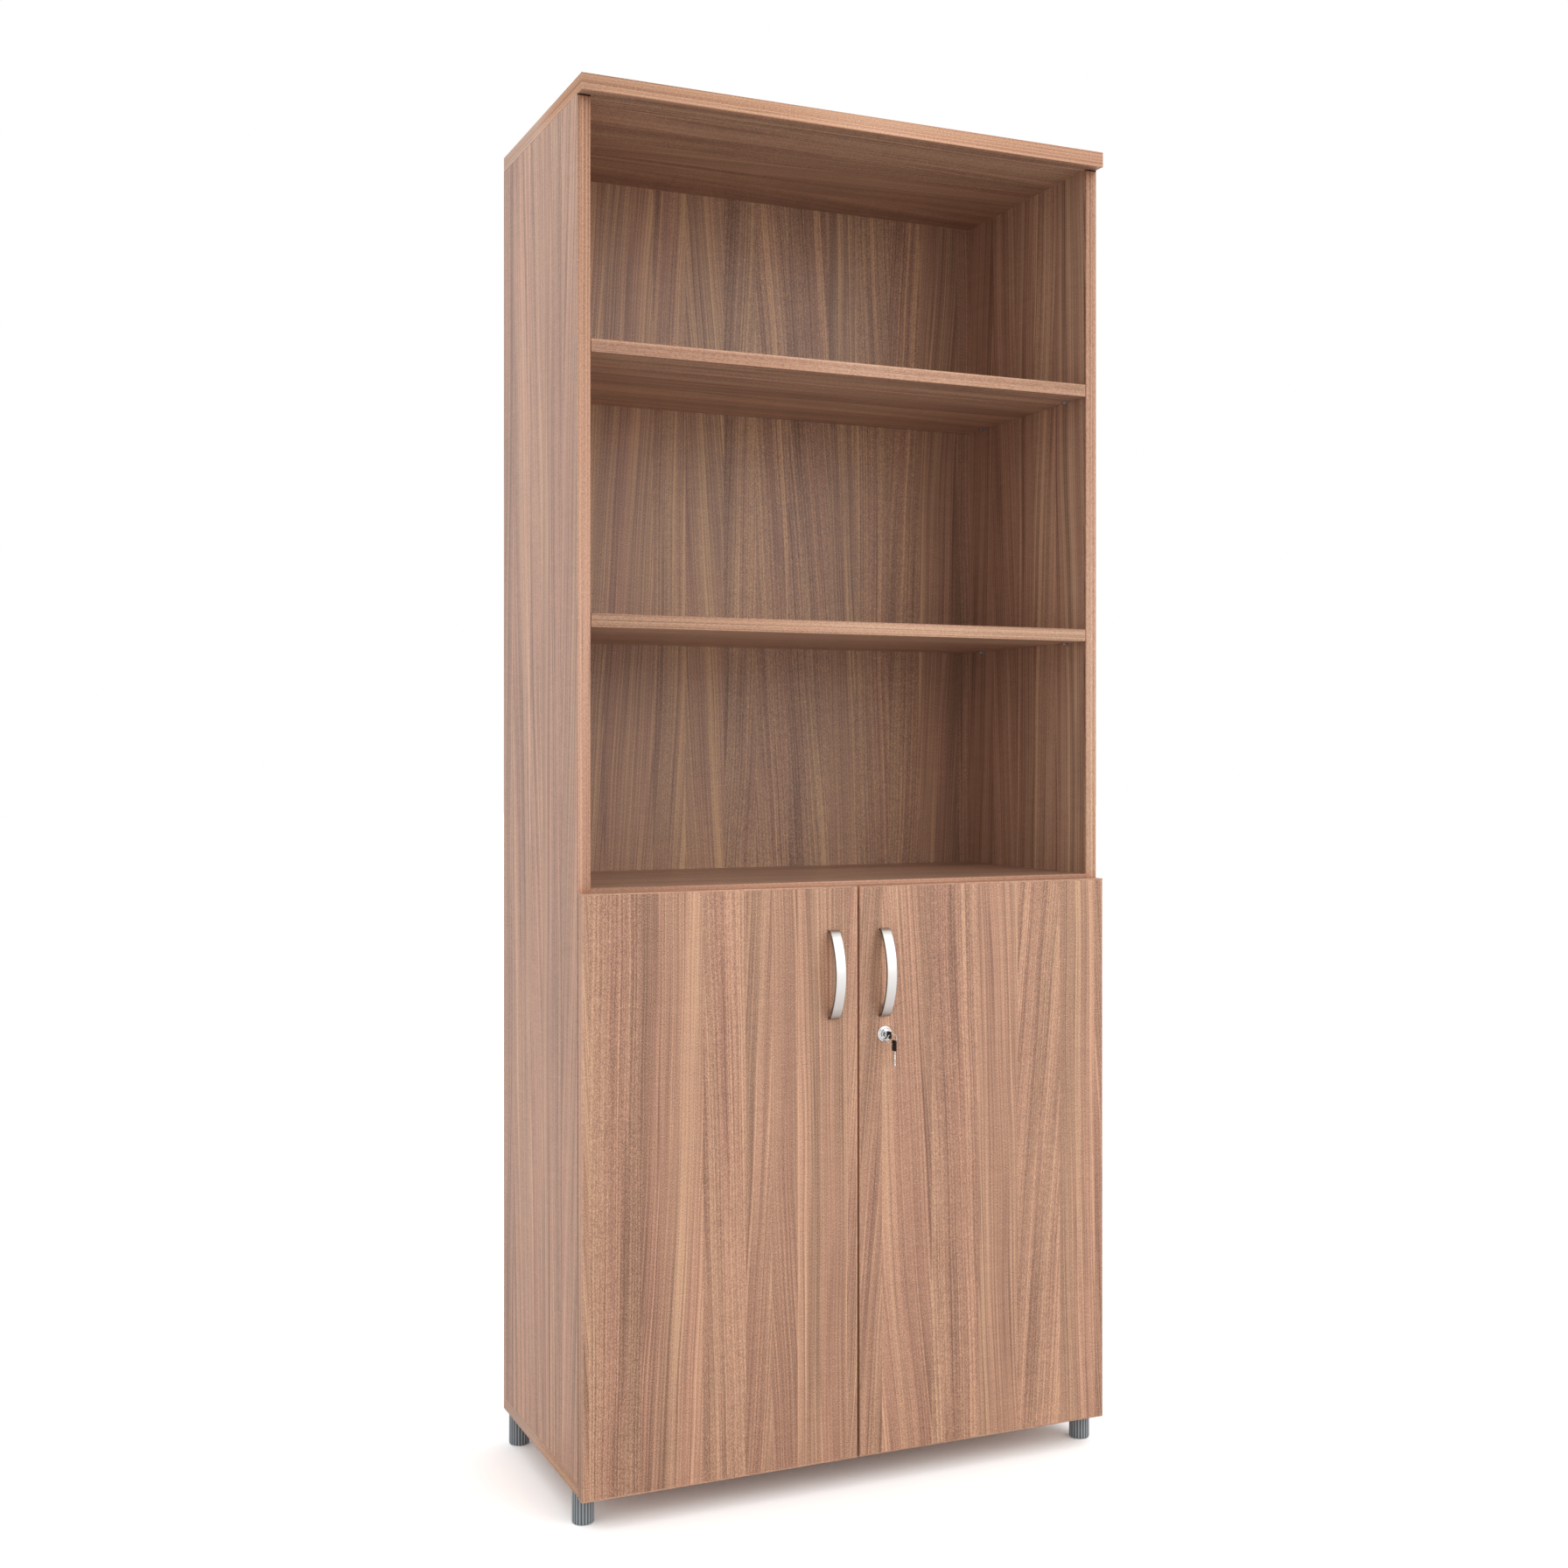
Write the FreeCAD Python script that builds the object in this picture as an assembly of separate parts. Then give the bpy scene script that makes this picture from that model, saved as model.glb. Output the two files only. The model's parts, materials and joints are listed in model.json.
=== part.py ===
import FreeCAD
import Part
import math
import os

# A tall bookcase: open shelves above, a two-door cupboard with a cylinder lock below, on four screw feet.
# Millimetres. +X is the right-hand side, -Y is the front, +Z is up, and the floor is at z = 0.

# Carcass
width = 800.0
depth = 380.0
height = 1900.0
board = 18.0
top_board = 22.0
back_board = 4.0
back_inset = 8.0
groove_depth = 6.0
groove_clearance = 0.1
edging = 2.0
edging_round = 1.0

# Shelves. The fixed one is measured to its upper face, the upper one by the clear height above it.
fixed_shelf_top = 838.0
top_opening = 318.0
cupboard_shelf_setback = 12.0
shelf_end_gap = 1.0
shelf_back_gap = 0.5

# Shelf supports: a round pin in the side and a flat tongue under the shelf
pin_radius = 2.5
pin_depth = 9.0
tongue_length = 9.0
tongue_thickness = 2.5
pin_inset = 50.0

# Dowels
dowel_radius = 4.0
dowel_clearance = 0.1
dowel_short_end = 12.0
dowel_long_end = 22.0
dowel_end_room = 0.5
dowel_inset = 75.0

# Doors
door_board = 16.0
door_gap = 1.5
door_reveal = 0.5
door_meeting_gap = 3.0
door_drop = 2.5
fixed_shelf_showing = 6.0
bumper_radius = 4.0
bumper_thickness = 1.2
bumper_inset = 30.0

# Cup hinges. Arm points are measured from the inner face of the side and from the carcass front,
# cup points from the outer edge of the door and from its inner face.
hinge_inset = 100.0
cup_centre = 21.5
cup_radius = 17.4
cup_hole_clearance = 0.1
cup_depth = 12.4
cup_wall = 0.8
cup_notch_depth = 5.0
cup_flange = 0.8
cup_flange_length = 56.0
cup_flange_start = 19.0
cup_flange_end = 38.0
cup_screw_spacing = 45.0
cup_screw_offset = 9.5
cup_cheek_margin = 2.1
outer_arm_point = (17.9, -23.8)
outer_cup_point = (8.8, 3.2)
outer_link_bend = (12.7, 7.5)
inner_arm_point = (8.0, 1.1)
inner_cup_point = (11.4, 6.5)
inner_link_bends = ((19.5, 9.3), (26.7, 3.5))
link_width = 5.0
link_half_thickness = 1.1
link_layer_gap = 0.4
link_eye_radius = 2.1
hinge_pin_radius = 0.9
hinge_pin_clearance = 0.05
loose_eye_clearance = 1.6
loose_eye_wall = 0.9
cheek_gap = 0.4
cheek_thickness = 1.5
arm_length = 76.0
arm_front = -20.5
arm_web_room = 2.6
arm_web = 1.5
arm_throat = 14.0
hinge_plate = 2.0
plate_rail_height = 4.0
plate_front = -28.0
plate_back = -66.0
plate_wing = 7.0
plate_screw_line = 37.0
plate_screw_spacing = 32.0
plate_screw_radius = 3.1
plate_screw_depth = 11.0
plate_screw_head_radius = 4.5
plate_screw_head = 1.5
arm_screw_radius = 2.2
arm_screw_line = 50.0

# Wood screws of the door fittings
screw_radius = 1.75
screw_depth = 10.0
screw_head_radius = 3.2
screw_head = 1.2
screw_clearance = 0.05

# Bow handles: a band along a wide arc that bends at both ends and stands on the door with short legs
handle_length = 123.0
handle_projection = 26.8
handle_bend_radius = 10.0
handle_leg = 1.4
handle_band = 3.5
handle_width = 15.5
handle_hole_spacing = 96.0
handle_boss_radius = 4.5
handle_inset = 37.5
handle_drop = 121.2
handle_screw_radius = 2.0
handle_screw_bite = 3.0
handle_screw_head_radius = 4.0
handle_screw_head = 2.4
handle_hole_clearance = 0.25

# Cylinder lock in the right-hand door, below the handle
lock_inset = 38.5
lock_gap = 13.5
rosette_radius = 11.0
rosette_thickness = 2.0
rosette_round = 0.8
barrel_radius = 8.0
barrel_nose = 1.4
barrel_tail = 5.0
barrel_clearance = 0.1
plug_radius = 5.75
plug_clearance = 0.05
plug_nose = 3.0
plug_collar = 0.3
nut_radius = 12.0
nut_thickness = 3.0
cam_length = 54.0
cam_width = 14.0
cam_thickness = 2.0
cam_hub_radius = 4.0
cam_screw_radius = 2.0
cam_screw_length = 6.0
cam_screw_head_radius = 4.0
cam_screw_head = 2.2

# Keys: one in the lock, a spare one on the same ring
key_thickness = 1.8
key_height = 6.6
key_insert = 16.0
keyway_clearance = 0.1
key_neck = 9.0
bow_length = 11.0
spare_bow_length = 15.0
bow_height = 10.0
bow_thickness = 2.5
bow_round = 1.5
bow_hole_radius = 2.2
bow_hole_margin = 3.6
bow_socket = 4.0
ring_radius = 7.0
ring_wire_radius = 0.6
ring_reach = 6.5
ring_lean = 33.0
spare_blade_height = 5.0
spare_blade_length = 22.0

# Strike plate and barrel bolt on the left-hand door
strike_width = 22.0
strike_height = 46.0
strike_thickness = 1.2
strike_inset = 2.0
bolt_radius = 3.5
bolt_clearance = 0.1
bolt_length = 64.0
bolt_travel = 13.0
bolt_gap = 3.0
bolt_setback = 9.5
bolt_handle_gap = 4.0
bolt_hole_radius = 4.2
bolt_plate = 1.5
bolt_plate_width = 34.0
bolt_plate_height = 46.0
bolt_plate_drop = 4.0
bolt_guide_height = 10.0
bolt_guide_wall = 2.2
bolt_knob_radius = 3.0
bolt_knob_length = 9.0

# Screw feet
foot_height = 43.0
foot_radius = 15.0
foot_ribs = 20
foot_rib_depth = 1.1
foot_chamfer = 1.2
foot_front_inset = 40.8
foot_back_inset = 30.0
foot_side_inset = 15.0
stem_radius = 4.0
stem_length = 15.0
stem_clearance = 0.05
insert_radius = 6.0
insert_length = 16.0

# Planes and heights that follow from the sizes above
key_hole_reach = key_neck + bow_length - bow_hole_margin
front_reach = max(handle_projection, key_hole_reach + bow_height / 2)
face_y = (front_reach - depth) / 2
rear_y = face_y + depth
door_back_y = face_y + door_board
carcass_y = door_back_y + door_gap
back_front_y = rear_y - back_inset - back_board
half_width = width / 2
inside_x = half_width - board
floor_z = foot_height + board
ceiling_z = height - top_board
upper_shelf_top = ceiling_z - top_opening
middle_shelf_top = (fixed_shelf_top + upper_shelf_top) / 2
cupboard_shelf_top = (floor_z + fixed_shelf_top) / 2
door_low_z = foot_height - door_drop
door_high_z = fixed_shelf_top - fixed_shelf_showing
door_edge_x = door_meeting_gap / 2
door_side_x = half_width - door_reveal
hinge_heights = (door_low_z + hinge_inset, door_high_z - hinge_inset)
handle_z = door_high_z - handle_drop
handle_rise = handle_projection - handle_leg
handle_bend_z = handle_length / 2 - handle_bend_radius
handle_bow_radius = (handle_rise ** 2 + handle_bend_z ** 2 - handle_bend_radius ** 2) / (
    2 * (handle_rise - handle_bend_radius))
lock_x = door_edge_x + lock_inset
lock_z = handle_z - handle_length / 2 - lock_gap - rosette_radius
key_hole_y = face_y - key_hole_reach
ring_x = lock_x + ring_reach * math.sin(math.radians(ring_lean))
ring_z = lock_z - ring_reach * math.cos(math.radians(ring_lean))
spare_x = 2 * ring_x - lock_x
spare_hole_z = 2 * ring_z - lock_z
bolt_inset = handle_inset + handle_screw_head_radius + bolt_handle_gap + bolt_plate_width / 2
bolt_x = -(door_edge_x + bolt_inset)
bolt_y = carcass_y + bolt_setback
bolt_top_z = fixed_shelf_top - board - bolt_gap

left = -1
right = 1
up = FreeCAD.Vector(0, 0, 1)
forward = FreeCAD.Vector(0, -1, 0)
backward = FreeCAD.Vector(0, 1, 0)
rightward = FreeCAD.Vector(1, 0, 0)


def point(x, y, z):
    return FreeCAD.Vector(x, y, z)


def block(x0, x1, y0, y1, z0, z1):
    return Part.makeBox(x1 - x0, y1 - y0, z1 - z0, point(x0, y0, z0))


def rod(start, direction, radius, length):
    return Part.makeCylinder(radius, length, start, direction)


def fuse(shapes):
    return shapes[0].multiFuse(shapes[1:]).removeSplitter()


# A flat outline given width along X
def slab(outline, thickness):
    solid = Part.Face(outline).extrude(rightward * thickness)
    return solid if solid.Volume > 0 else solid.reversed()


# A strip of edging: a thin block whose two long outer edges are rounded
def edge_strip(x0, x1, y0, y1, z0, z1, outward):
    strip = block(x0, x1, y0, y1, z0, z1)
    longest = max(x1 - x0, y1 - y0, z1 - z0)
    outer = [face for face in strip.Faces if face.normalAt(0, 0).isEqual(outward, 1e-6)][0]
    edges = [edge for edge in outer.Edges if abs(edge.Length - longest) < 1e-6]
    return strip.makeFillet(min(edging_round, 0.9 * edging), edges)


# Carcass boards and their edging

def back_groove(x0, x1, z0, z1):
    low = back_front_y - groove_clearance
    high = back_front_y + back_board + groove_clearance
    return block(x0, x1, low, high, z0, z1)


def dowel_lines():
    first = carcass_y + dowel_inset
    last = rear_y - dowel_inset
    return (first, (first + last) / 2, last)


# Every dowel as its middle line: the point where the two boards meet and the way into the longer hole
def dowel_places():
    places = []
    for side in (left, right):
        for y in dowel_lines():
            places.append((point(side * (half_width - board / 2), y, ceiling_z), point(0, 0, -1)))
            places.append((point(side * (half_width - board / 2), y, floor_z), point(0, 0, 1)))
            places.append((point(side * inside_x, y, fixed_shelf_top - board / 2), point(-side, 0, 0)))
    return places


def dowel_rods(extra_radius, extra_length):
    rods = []
    for place, inward in dowel_places():
        start = place - inward * (dowel_short_end + extra_length)
        length = dowel_short_end + dowel_long_end + 2 * extra_length
        rods.append(rod(start, inward, dowel_radius + extra_radius, length))
    return rods


def carcass_dowels():
    return Part.makeCompound(dowel_rods(0.0, 0.0))


def dowel_holes():
    return dowel_rods(dowel_clearance, dowel_end_room)


def top_panel():
    panel = block(-half_width + edging, half_width - edging, face_y + edging, rear_y, ceiling_z, height)
    reach = inside_x + groove_depth
    groove = back_groove(-reach, reach, ceiling_z, ceiling_z + groove_depth)
    return panel.cut([groove] + dowel_holes())


# Edging of a full-width board: along its front and along both ends
def board_edging(front_y, z0, z1):
    front = edge_strip(-half_width, half_width, front_y, front_y + edging, z0, z1, forward)
    ends = []
    for side in (left, right):
        inner = side * (half_width - edging)
        outer = side * half_width
        x0, x1 = min(inner, outer), max(inner, outer)
        ends.append(edge_strip(x0, x1, front_y + edging, rear_y, z0, z1, rightward * side))
    return Part.makeCompound([front] + ends)


def bottom_panel():
    front = carcass_y + edging
    panel = block(-half_width + edging, half_width - edging, front, rear_y, foot_height, floor_z)
    reach = inside_x + groove_depth
    groove = back_groove(-reach, reach, floor_z - groove_depth, floor_z)
    holes = [rod(place, up, insert_radius, insert_length) for place in foot_places().values()]
    return panel.cut([groove] + holes + dowel_holes())


def side_panel(side):
    inner = side * inside_x
    outer = side * half_width
    x0, x1 = min(inner, outer), max(inner, outer)
    panel = block(x0, x1, carcass_y + edging, rear_y, floor_z, ceiling_z)
    groove_end = side * (inside_x + groove_depth)
    groove = back_groove(min(inner, groove_end), max(inner, groove_end), floor_z, ceiling_z)
    holes = [pin_rod(x, y, z, x_way) for x, y, z, x_way in pin_places() if x_way == side]
    screws = [plate_screw_shank(z, side) for z in plate_screw_heights()]
    return panel.cut([groove] + holes + screws + dowel_holes())


def side_edging():
    strips = []
    for side in (left, right):
        inner = side * inside_x
        outer = side * half_width
        x0, x1 = min(inner, outer), max(inner, outer)
        strips.append(edge_strip(x0, x1, carcass_y, carcass_y + edging, floor_z, ceiling_z, forward))
    return Part.makeCompound(strips)


def back_panel():
    reach = inside_x + groove_depth - shelf_end_gap
    rise = groove_depth - shelf_end_gap
    return block(-reach, reach, back_front_y, back_front_y + back_board, floor_z - rise, ceiling_z + rise)


def fixed_shelf():
    low = fixed_shelf_top - board
    panel = block(-inside_x, inside_x, carcass_y + edging, back_front_y - shelf_back_gap,
                  low, fixed_shelf_top)
    bolt_hole = rod(point(bolt_x, bolt_y, low), up, bolt_hole_radius, bolt_travel)
    return panel.cut([bolt_hole] + dowel_holes())


def loose_shelf(top_z, setback):
    reach = inside_x - shelf_end_gap
    front = carcass_y + setback + edging
    return block(-reach, reach, front, back_front_y - shelf_back_gap, top_z - board, top_z)


def shelf_edging():
    places = (
        (fixed_shelf_top, 0.0, inside_x),
        (middle_shelf_top, 0.0, inside_x - shelf_end_gap),
        (upper_shelf_top, 0.0, inside_x - shelf_end_gap),
        (cupboard_shelf_top, cupboard_shelf_setback, inside_x - shelf_end_gap),
    )
    strips = []
    for top_z, setback, reach in places:
        front = carcass_y + setback
        strips.append(edge_strip(-reach, reach, front, front + edging, top_z - board, top_z, forward))
    return Part.makeCompound(strips)


# Shelf pins: four under each loose shelf
def pin_places():
    places = []
    for top_z in (cupboard_shelf_top, middle_shelf_top, upper_shelf_top):
        for side in (left, right):
            for y in (carcass_y + pin_inset, back_front_y - pin_inset):
                places.append((side * inside_x, y, top_z - board - pin_radius, side))
    return places


def pin_rod(x, y, z, side):
    return rod(point(x, y, z), rightward * side, pin_radius, pin_depth)


def shelf_pins():
    pins = []
    for x, y, z, side in pin_places():
        end = x - side * tongue_length
        tongue_top = z + pin_radius
        tongue = block(min(x, end), max(x, end), y - pin_radius, y + pin_radius,
                       tongue_top - tongue_thickness, tongue_top)
        pins.append(fuse([pin_rod(x, y, z, side), tongue]))
    return Part.makeCompound(pins)


# Doors. u runs from the outer face of a side towards the middle, w from the carcass front forwards.
def plan(u, w, z, side):
    return point(side * (half_width - u), carcass_y - w, z)


def arm_place(spot):
    return (board + spot[0], spot[1])


def cup_place(spot):
    return (door_reveal + spot[0], door_gap + spot[1])


def plan_prism(spots, z0, z1, side):
    corners = [plan(u, w, z0, side) for u, w in spots]
    solid = Part.Face(Part.makePolygon(corners + corners[:1])).extrude(up * (z1 - z0))
    return solid if solid.Volume > 0 else solid.reversed()


def plan_disc(spot, radius, z0, z1, side):
    return rod(plan(spot[0], spot[1], z0, side), up, radius, z1 - z0)


# A flat bar with round ends between two plan points
def plan_bar(a, b, radius, z0, z1, side):
    run_u, run_w = b[0] - a[0], b[1] - a[1]
    scale = radius / math.hypot(run_u, run_w)
    nu, nw = -run_w * scale, run_u * scale
    corners = [(a[0] + nu, a[1] + nw), (b[0] + nu, b[1] + nw), (b[0] - nu, b[1] - nw), (a[0] - nu, a[1] - nw)]
    ends = [plan_disc(spot, radius, z0, z1, side) for spot in (a, b)]
    return fuse([plan_prism(corners, z0, z1, side)] + ends)


def door_outline(side):
    inner = side * door_edge_x
    outer = side * door_side_x
    return min(inner, outer), max(inner, outer)


def cup_hole(z, side):
    centre = plan(door_reveal + cup_centre, door_gap, z, side)
    return rod(centre, forward, cup_radius + cup_hole_clearance, cup_depth + cup_hole_clearance)


def door_panel(side):
    x0, x1 = door_outline(side)
    panel = block(x0 + edging, x1 - edging, face_y, door_back_y, door_low_z + edging, door_high_z - edging)
    holes = [cup_hole(z, side) for z in hinge_heights]
    holes += [screw_shank(place, screw_clearance) for place in door_screw_places(side)]
    for z in handle_hole_heights():
        start = point(side * (door_edge_x + handle_inset), face_y, z)
        holes.append(rod(start, backward, handle_screw_radius + handle_hole_clearance, door_board))
    if side == right:
        holes.append(rod(lock_point(face_y), backward, barrel_radius + barrel_clearance, door_board))
    return panel.cut(holes)


def door_edging(side):
    x0, x1 = door_outline(side)
    low, high = door_low_z, door_high_z
    strips = [
        edge_strip(x0, x1, face_y, door_back_y, high - edging, high, up),
        edge_strip(x0, x1, face_y, door_back_y, low, low + edging, up * -1),
        edge_strip(x0, x0 + edging, face_y, door_back_y, low + edging, high - edging, rightward * -1),
        edge_strip(x1 - edging, x1, face_y, door_back_y, low + edging, high - edging, rightward),
    ]
    return Part.makeCompound(strips)


def door_bumpers():
    bumpers = []
    for side in (left, right):
        for z in (foot_height + board / 2, (fixed_shelf_top - board + door_high_z) / 2):
            start = point(side * (door_edge_x + bumper_inset), carcass_y, z)
            bumpers.append(rod(start, forward, bumper_radius, bumper_thickness))
    return Part.makeCompound(bumpers)


# Wood screws of the door: two through each hinge cup, and on the left door those of the strike and the bolt
def door_screw_places(side):
    places = []
    u = door_reveal + cup_centre + cup_screw_offset
    for z in hinge_heights:
        for way in (-1, 1):
            z_screw = z + way * cup_screw_spacing / 2
            places.append(plan(u, door_gap - cup_flange, z_screw, side))
    if side == left:
        for way in (-1, 1):
            x_strike = -(door_edge_x + strike_inset + strike_width / 2)
            z_strike = lock_z + way * (strike_height / 2 - 2 * screw_head_radius)
            places.append(point(x_strike, door_back_y + strike_thickness, z_strike))
            x_bolt = bolt_x + way * (bolt_plate_width / 2 - 1.5 * screw_head_radius)
            places.append(point(x_bolt, door_back_y + bolt_plate, bolt_plate_middle()))
    return places


def screw_shank(place, clearance):
    return rod(place, forward, screw_radius + clearance, screw_depth)


def door_screws(side):
    screws = []
    for place in door_screw_places(side):
        head = rod(place, backward, screw_head_radius, screw_head)
        slot = block(place.x - screw_head_radius, place.x + screw_head_radius,
                     place.y + screw_head / 2, place.y + screw_head,
                     place.z - screw_head / 2, place.z + screw_head / 2)
        screws.append(fuse([screw_shank(place, 0.0), head]).cut(slot))
    return Part.makeCompound(screws)


# Hinge links lie in two layers, the outer link below the middle of the hinge and the inner link above it
def lower_layer(z):
    return z - link_layer_gap - link_width, z - link_layer_gap


def upper_layer(z):
    return z + link_layer_gap, z + link_layer_gap + link_width


cheek_inside = link_layer_gap + link_width + cheek_gap
cheek_outside = cheek_inside + cheek_thickness


def pin_hole(spot, radius, z, side):
    return plan_disc(spot, radius, z - cheek_outside, z + cheek_outside, side)


def outer_link(z, side):
    z0, z1 = lower_layer(z)
    cup_end, arm_end = cup_place(outer_cup_point), arm_place(outer_arm_point)
    bend = cup_place(outer_link_bend)
    bars = [plan_bar(cup_end, bend, link_half_thickness, z0, z1, side),
            plan_bar(bend, arm_end, link_half_thickness, z0, z1, side),
            plan_disc(cup_end, link_eye_radius, z0, z1, side),
            plan_disc(arm_end, link_eye_radius, z0, z1, side)]
    bore = hinge_pin_radius + hinge_pin_clearance
    return fuse(bars).cut([pin_hole(cup_end, bore, z, side), pin_hole(arm_end, bore, z, side)])


def inner_link(z, side):
    z0, z1 = upper_layer(z)
    cup_end, arm_end = cup_place(inner_cup_point), arm_place(inner_arm_point)
    spots = [cup_end] + [cup_place(bend) for bend in inner_link_bends] + [arm_end]
    bars = [plan_bar(a, b, link_half_thickness, z0, z1, side) for a, b in zip(spots, spots[1:])]
    loose_bore = hinge_pin_radius + loose_eye_clearance
    bars.append(plan_disc(cup_end, loose_bore + loose_eye_wall, z0, z1, side))
    bars.append(plan_disc(arm_end, link_eye_radius, z0, z1, side))
    bore = hinge_pin_radius + hinge_pin_clearance
    return fuse(bars).cut([pin_hole(cup_end, loose_bore, z, side), pin_hole(arm_end, bore, z, side)])


def hinge_arm(z, side):
    outer, inner = arm_place(outer_arm_point), arm_place(inner_arm_point)
    low_u = board + hinge_plate
    high_u = outer[0] + arm_web_room
    back_w = -arm_length
    heel = [(low_u, back_w), (high_u, back_w), (high_u, arm_front), (outer[0] - arm_web_room, arm_front),
            (low_u, arm_front - arm_throat)]
    nose_room = link_eye_radius + cheek_gap / 2
    nose = [(high_u, arm_front), (inner[0] + nose_room, inner[1]), (inner[0] - nose_room, inner[1]),
            (low_u, arm_front - arm_throat)]
    lower = plan_prism(heel, z - cheek_outside, z - cheek_inside, side)
    upper = [plan_prism(heel, z + cheek_inside, z + cheek_outside, side),
             plan_prism(nose, z + cheek_inside, z + cheek_outside, side),
             plan_disc(inner, nose_room, z + cheek_inside, z + cheek_outside, side)]
    web = plan_prism([(high_u, back_w), (high_u + arm_web, back_w), (high_u + arm_web, arm_front),
                      (high_u, arm_front)], z - cheek_outside, z + cheek_outside, side)
    holes = [pin_hole(outer, hinge_pin_radius, z, side), pin_hole(inner, hinge_pin_radius, z, side)]
    screw_start = plan(high_u, -arm_screw_line, z, side)
    holes.append(rod(screw_start, rightward * -side, arm_screw_radius + screw_clearance, arm_web))
    return fuse([lower, web] + upper).cut(holes)


def hinge_arm_pins():
    pins = []
    for side in (left, right):
        for z in hinge_heights:
            outer, inner = arm_place(outer_arm_point), arm_place(inner_arm_point)
            pins.append(plan_disc(outer, hinge_pin_radius, z - cheek_outside, z + cheek_outside, side))
            pins.append(plan_disc(inner, hinge_pin_radius, z + link_layer_gap, z + cheek_outside, side))
    return Part.makeCompound(pins)


def hinge_cup_pins(side):
    pins = []
    for z in hinge_heights:
        outer, inner = cup_place(outer_cup_point), cup_place(inner_cup_point)
        pins.append(plan_disc(outer, hinge_pin_radius, z - cheek_outside, z - link_layer_gap, side))
        pins.append(plan_disc(inner, hinge_pin_radius, z + link_layer_gap, z + cheek_outside, side))
    return Part.makeCompound(pins)


def hinge_cup(z, side):
    centre = plan(door_reveal + cup_centre, door_gap, z, side)
    shell = rod(centre, forward, cup_radius, cup_depth)
    flange_u0, flange_u1 = door_reveal + cup_flange_start, door_reveal + cup_flange_end
    flange_w = door_gap - cup_flange
    flange = plan_prism([(flange_u0, door_gap), (flange_u1, door_gap), (flange_u1, flange_w),
                         (flange_u0, flange_w)],
                        z - cup_flange_length / 2, z + cup_flange_length / 2, side)
    inner_radius = cup_radius - cup_wall
    hollow = rod(centre + backward * cup_flange, forward, inner_radius, cup_depth - cup_wall + cup_flange)
    bowl = fuse([shell, flange]).cut(hollow)
    cheeks = []
    floor = door_gap + cup_depth - cup_wall / 2
    outer, inner = cup_place(outer_cup_point), cup_place(inner_cup_point)
    for spot, z0 in ((outer, z - cheek_outside), (inner, z + cheek_inside)):
        low_u, high_u = spot[0] - cup_cheek_margin, spot[0] + cup_cheek_margin
        cheek = plan_prism([(low_u, spot[1] - cup_cheek_margin), (high_u, spot[1] - cup_cheek_margin),
                            (high_u, floor), (low_u, floor)], z0, z0 + cheek_thickness, side)
        cheeks.append(cheek.common(shell))
    notch_u = door_reveal + cup_centre - inner_radius + cup_cheek_margin
    notch = plan_prism([(door_reveal, door_gap), (notch_u, door_gap), (notch_u, door_gap + cup_notch_depth),
                        (door_reveal, door_gap + cup_notch_depth)], z - cheek_inside, z + cheek_inside, side)
    holes = [notch, pin_hole(outer, hinge_pin_radius, z, side), pin_hole(inner, hinge_pin_radius, z, side)]
    holes += [screw_shank(place, screw_clearance) for place in door_screw_places(side)]
    return fuse([bowl] + cheeks).cut(holes)


def mounting_plate(z, side):
    low_u, high_u = board, board + hinge_plate
    foot = plan_prism([(low_u, plate_back), (high_u, plate_back), (high_u, plate_front),
                       (low_u, plate_front)], z - cheek_outside, z + cheek_outside, side)
    wing_low = -plate_screw_line - plate_wing
    wing_high = -plate_screw_line + plate_wing
    wing_reach = plate_screw_spacing / 2 + plate_wing
    wings = plan_prism([(low_u, wing_low), (high_u, wing_low), (high_u, wing_high), (low_u, wing_high)],
                       z - wing_reach, z + wing_reach, side)
    rail = plan_prism([(high_u, plate_back), (high_u + plate_rail_height, plate_back),
                       (high_u + plate_rail_height, plate_front), (high_u, plate_front)],
                      z - link_width, z + link_width, side)
    holes = [plate_screw_shank(z_screw, side) for z_screw in plate_screw_heights()]
    return fuse([foot, wings, rail]).cut(holes + [arm_screw_shank(z, side, screw_clearance)])


def plate_screw_heights():
    return [z + way * plate_screw_spacing / 2 for z in hinge_heights for way in (-1, 1)]


def plate_screw_shank(z, side):
    start = plan(board + hinge_plate, -plate_screw_line, z, side)
    return rod(start, rightward * side, plate_screw_radius, plate_screw_depth + hinge_plate)


def hinge_plate_screws():
    screws = []
    for side in (left, right):
        for z in plate_screw_heights():
            start = plan(board + hinge_plate, -plate_screw_line, z, side)
            head = rod(start, rightward * -side, plate_screw_head_radius, plate_screw_head)
            screws.append(fuse([plate_screw_shank(z, side), head]))
    return Part.makeCompound(screws)


# The screw that clamps each arm to the rail of its plate
def arm_screw_shank(z, side, clearance):
    web_u = arm_place(outer_arm_point)[0] + arm_web_room + arm_web
    length = web_u - board - hinge_plate
    return rod(plan(web_u, -arm_screw_line, z, side), rightward * side, arm_screw_radius + clearance, length)


def hinge_arm_screws():
    screws = []
    web_u = arm_place(outer_arm_point)[0] + arm_web_room + arm_web
    for side in (left, right):
        for z in hinge_heights:
            start = plan(web_u, -arm_screw_line, z, side)
            head = rod(start, rightward * -side, plate_screw_head_radius, plate_screw_head)
            screws.append(fuse([arm_screw_shank(z, side, 0.0), head]))
    return Part.makeCompound(screws)


# Bow handle: a flat band with bent ends, and a boss for a screw near each end
def handle_hole_heights():
    return (handle_z - handle_hole_spacing / 2, handle_z + handle_hole_spacing / 2)


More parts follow.
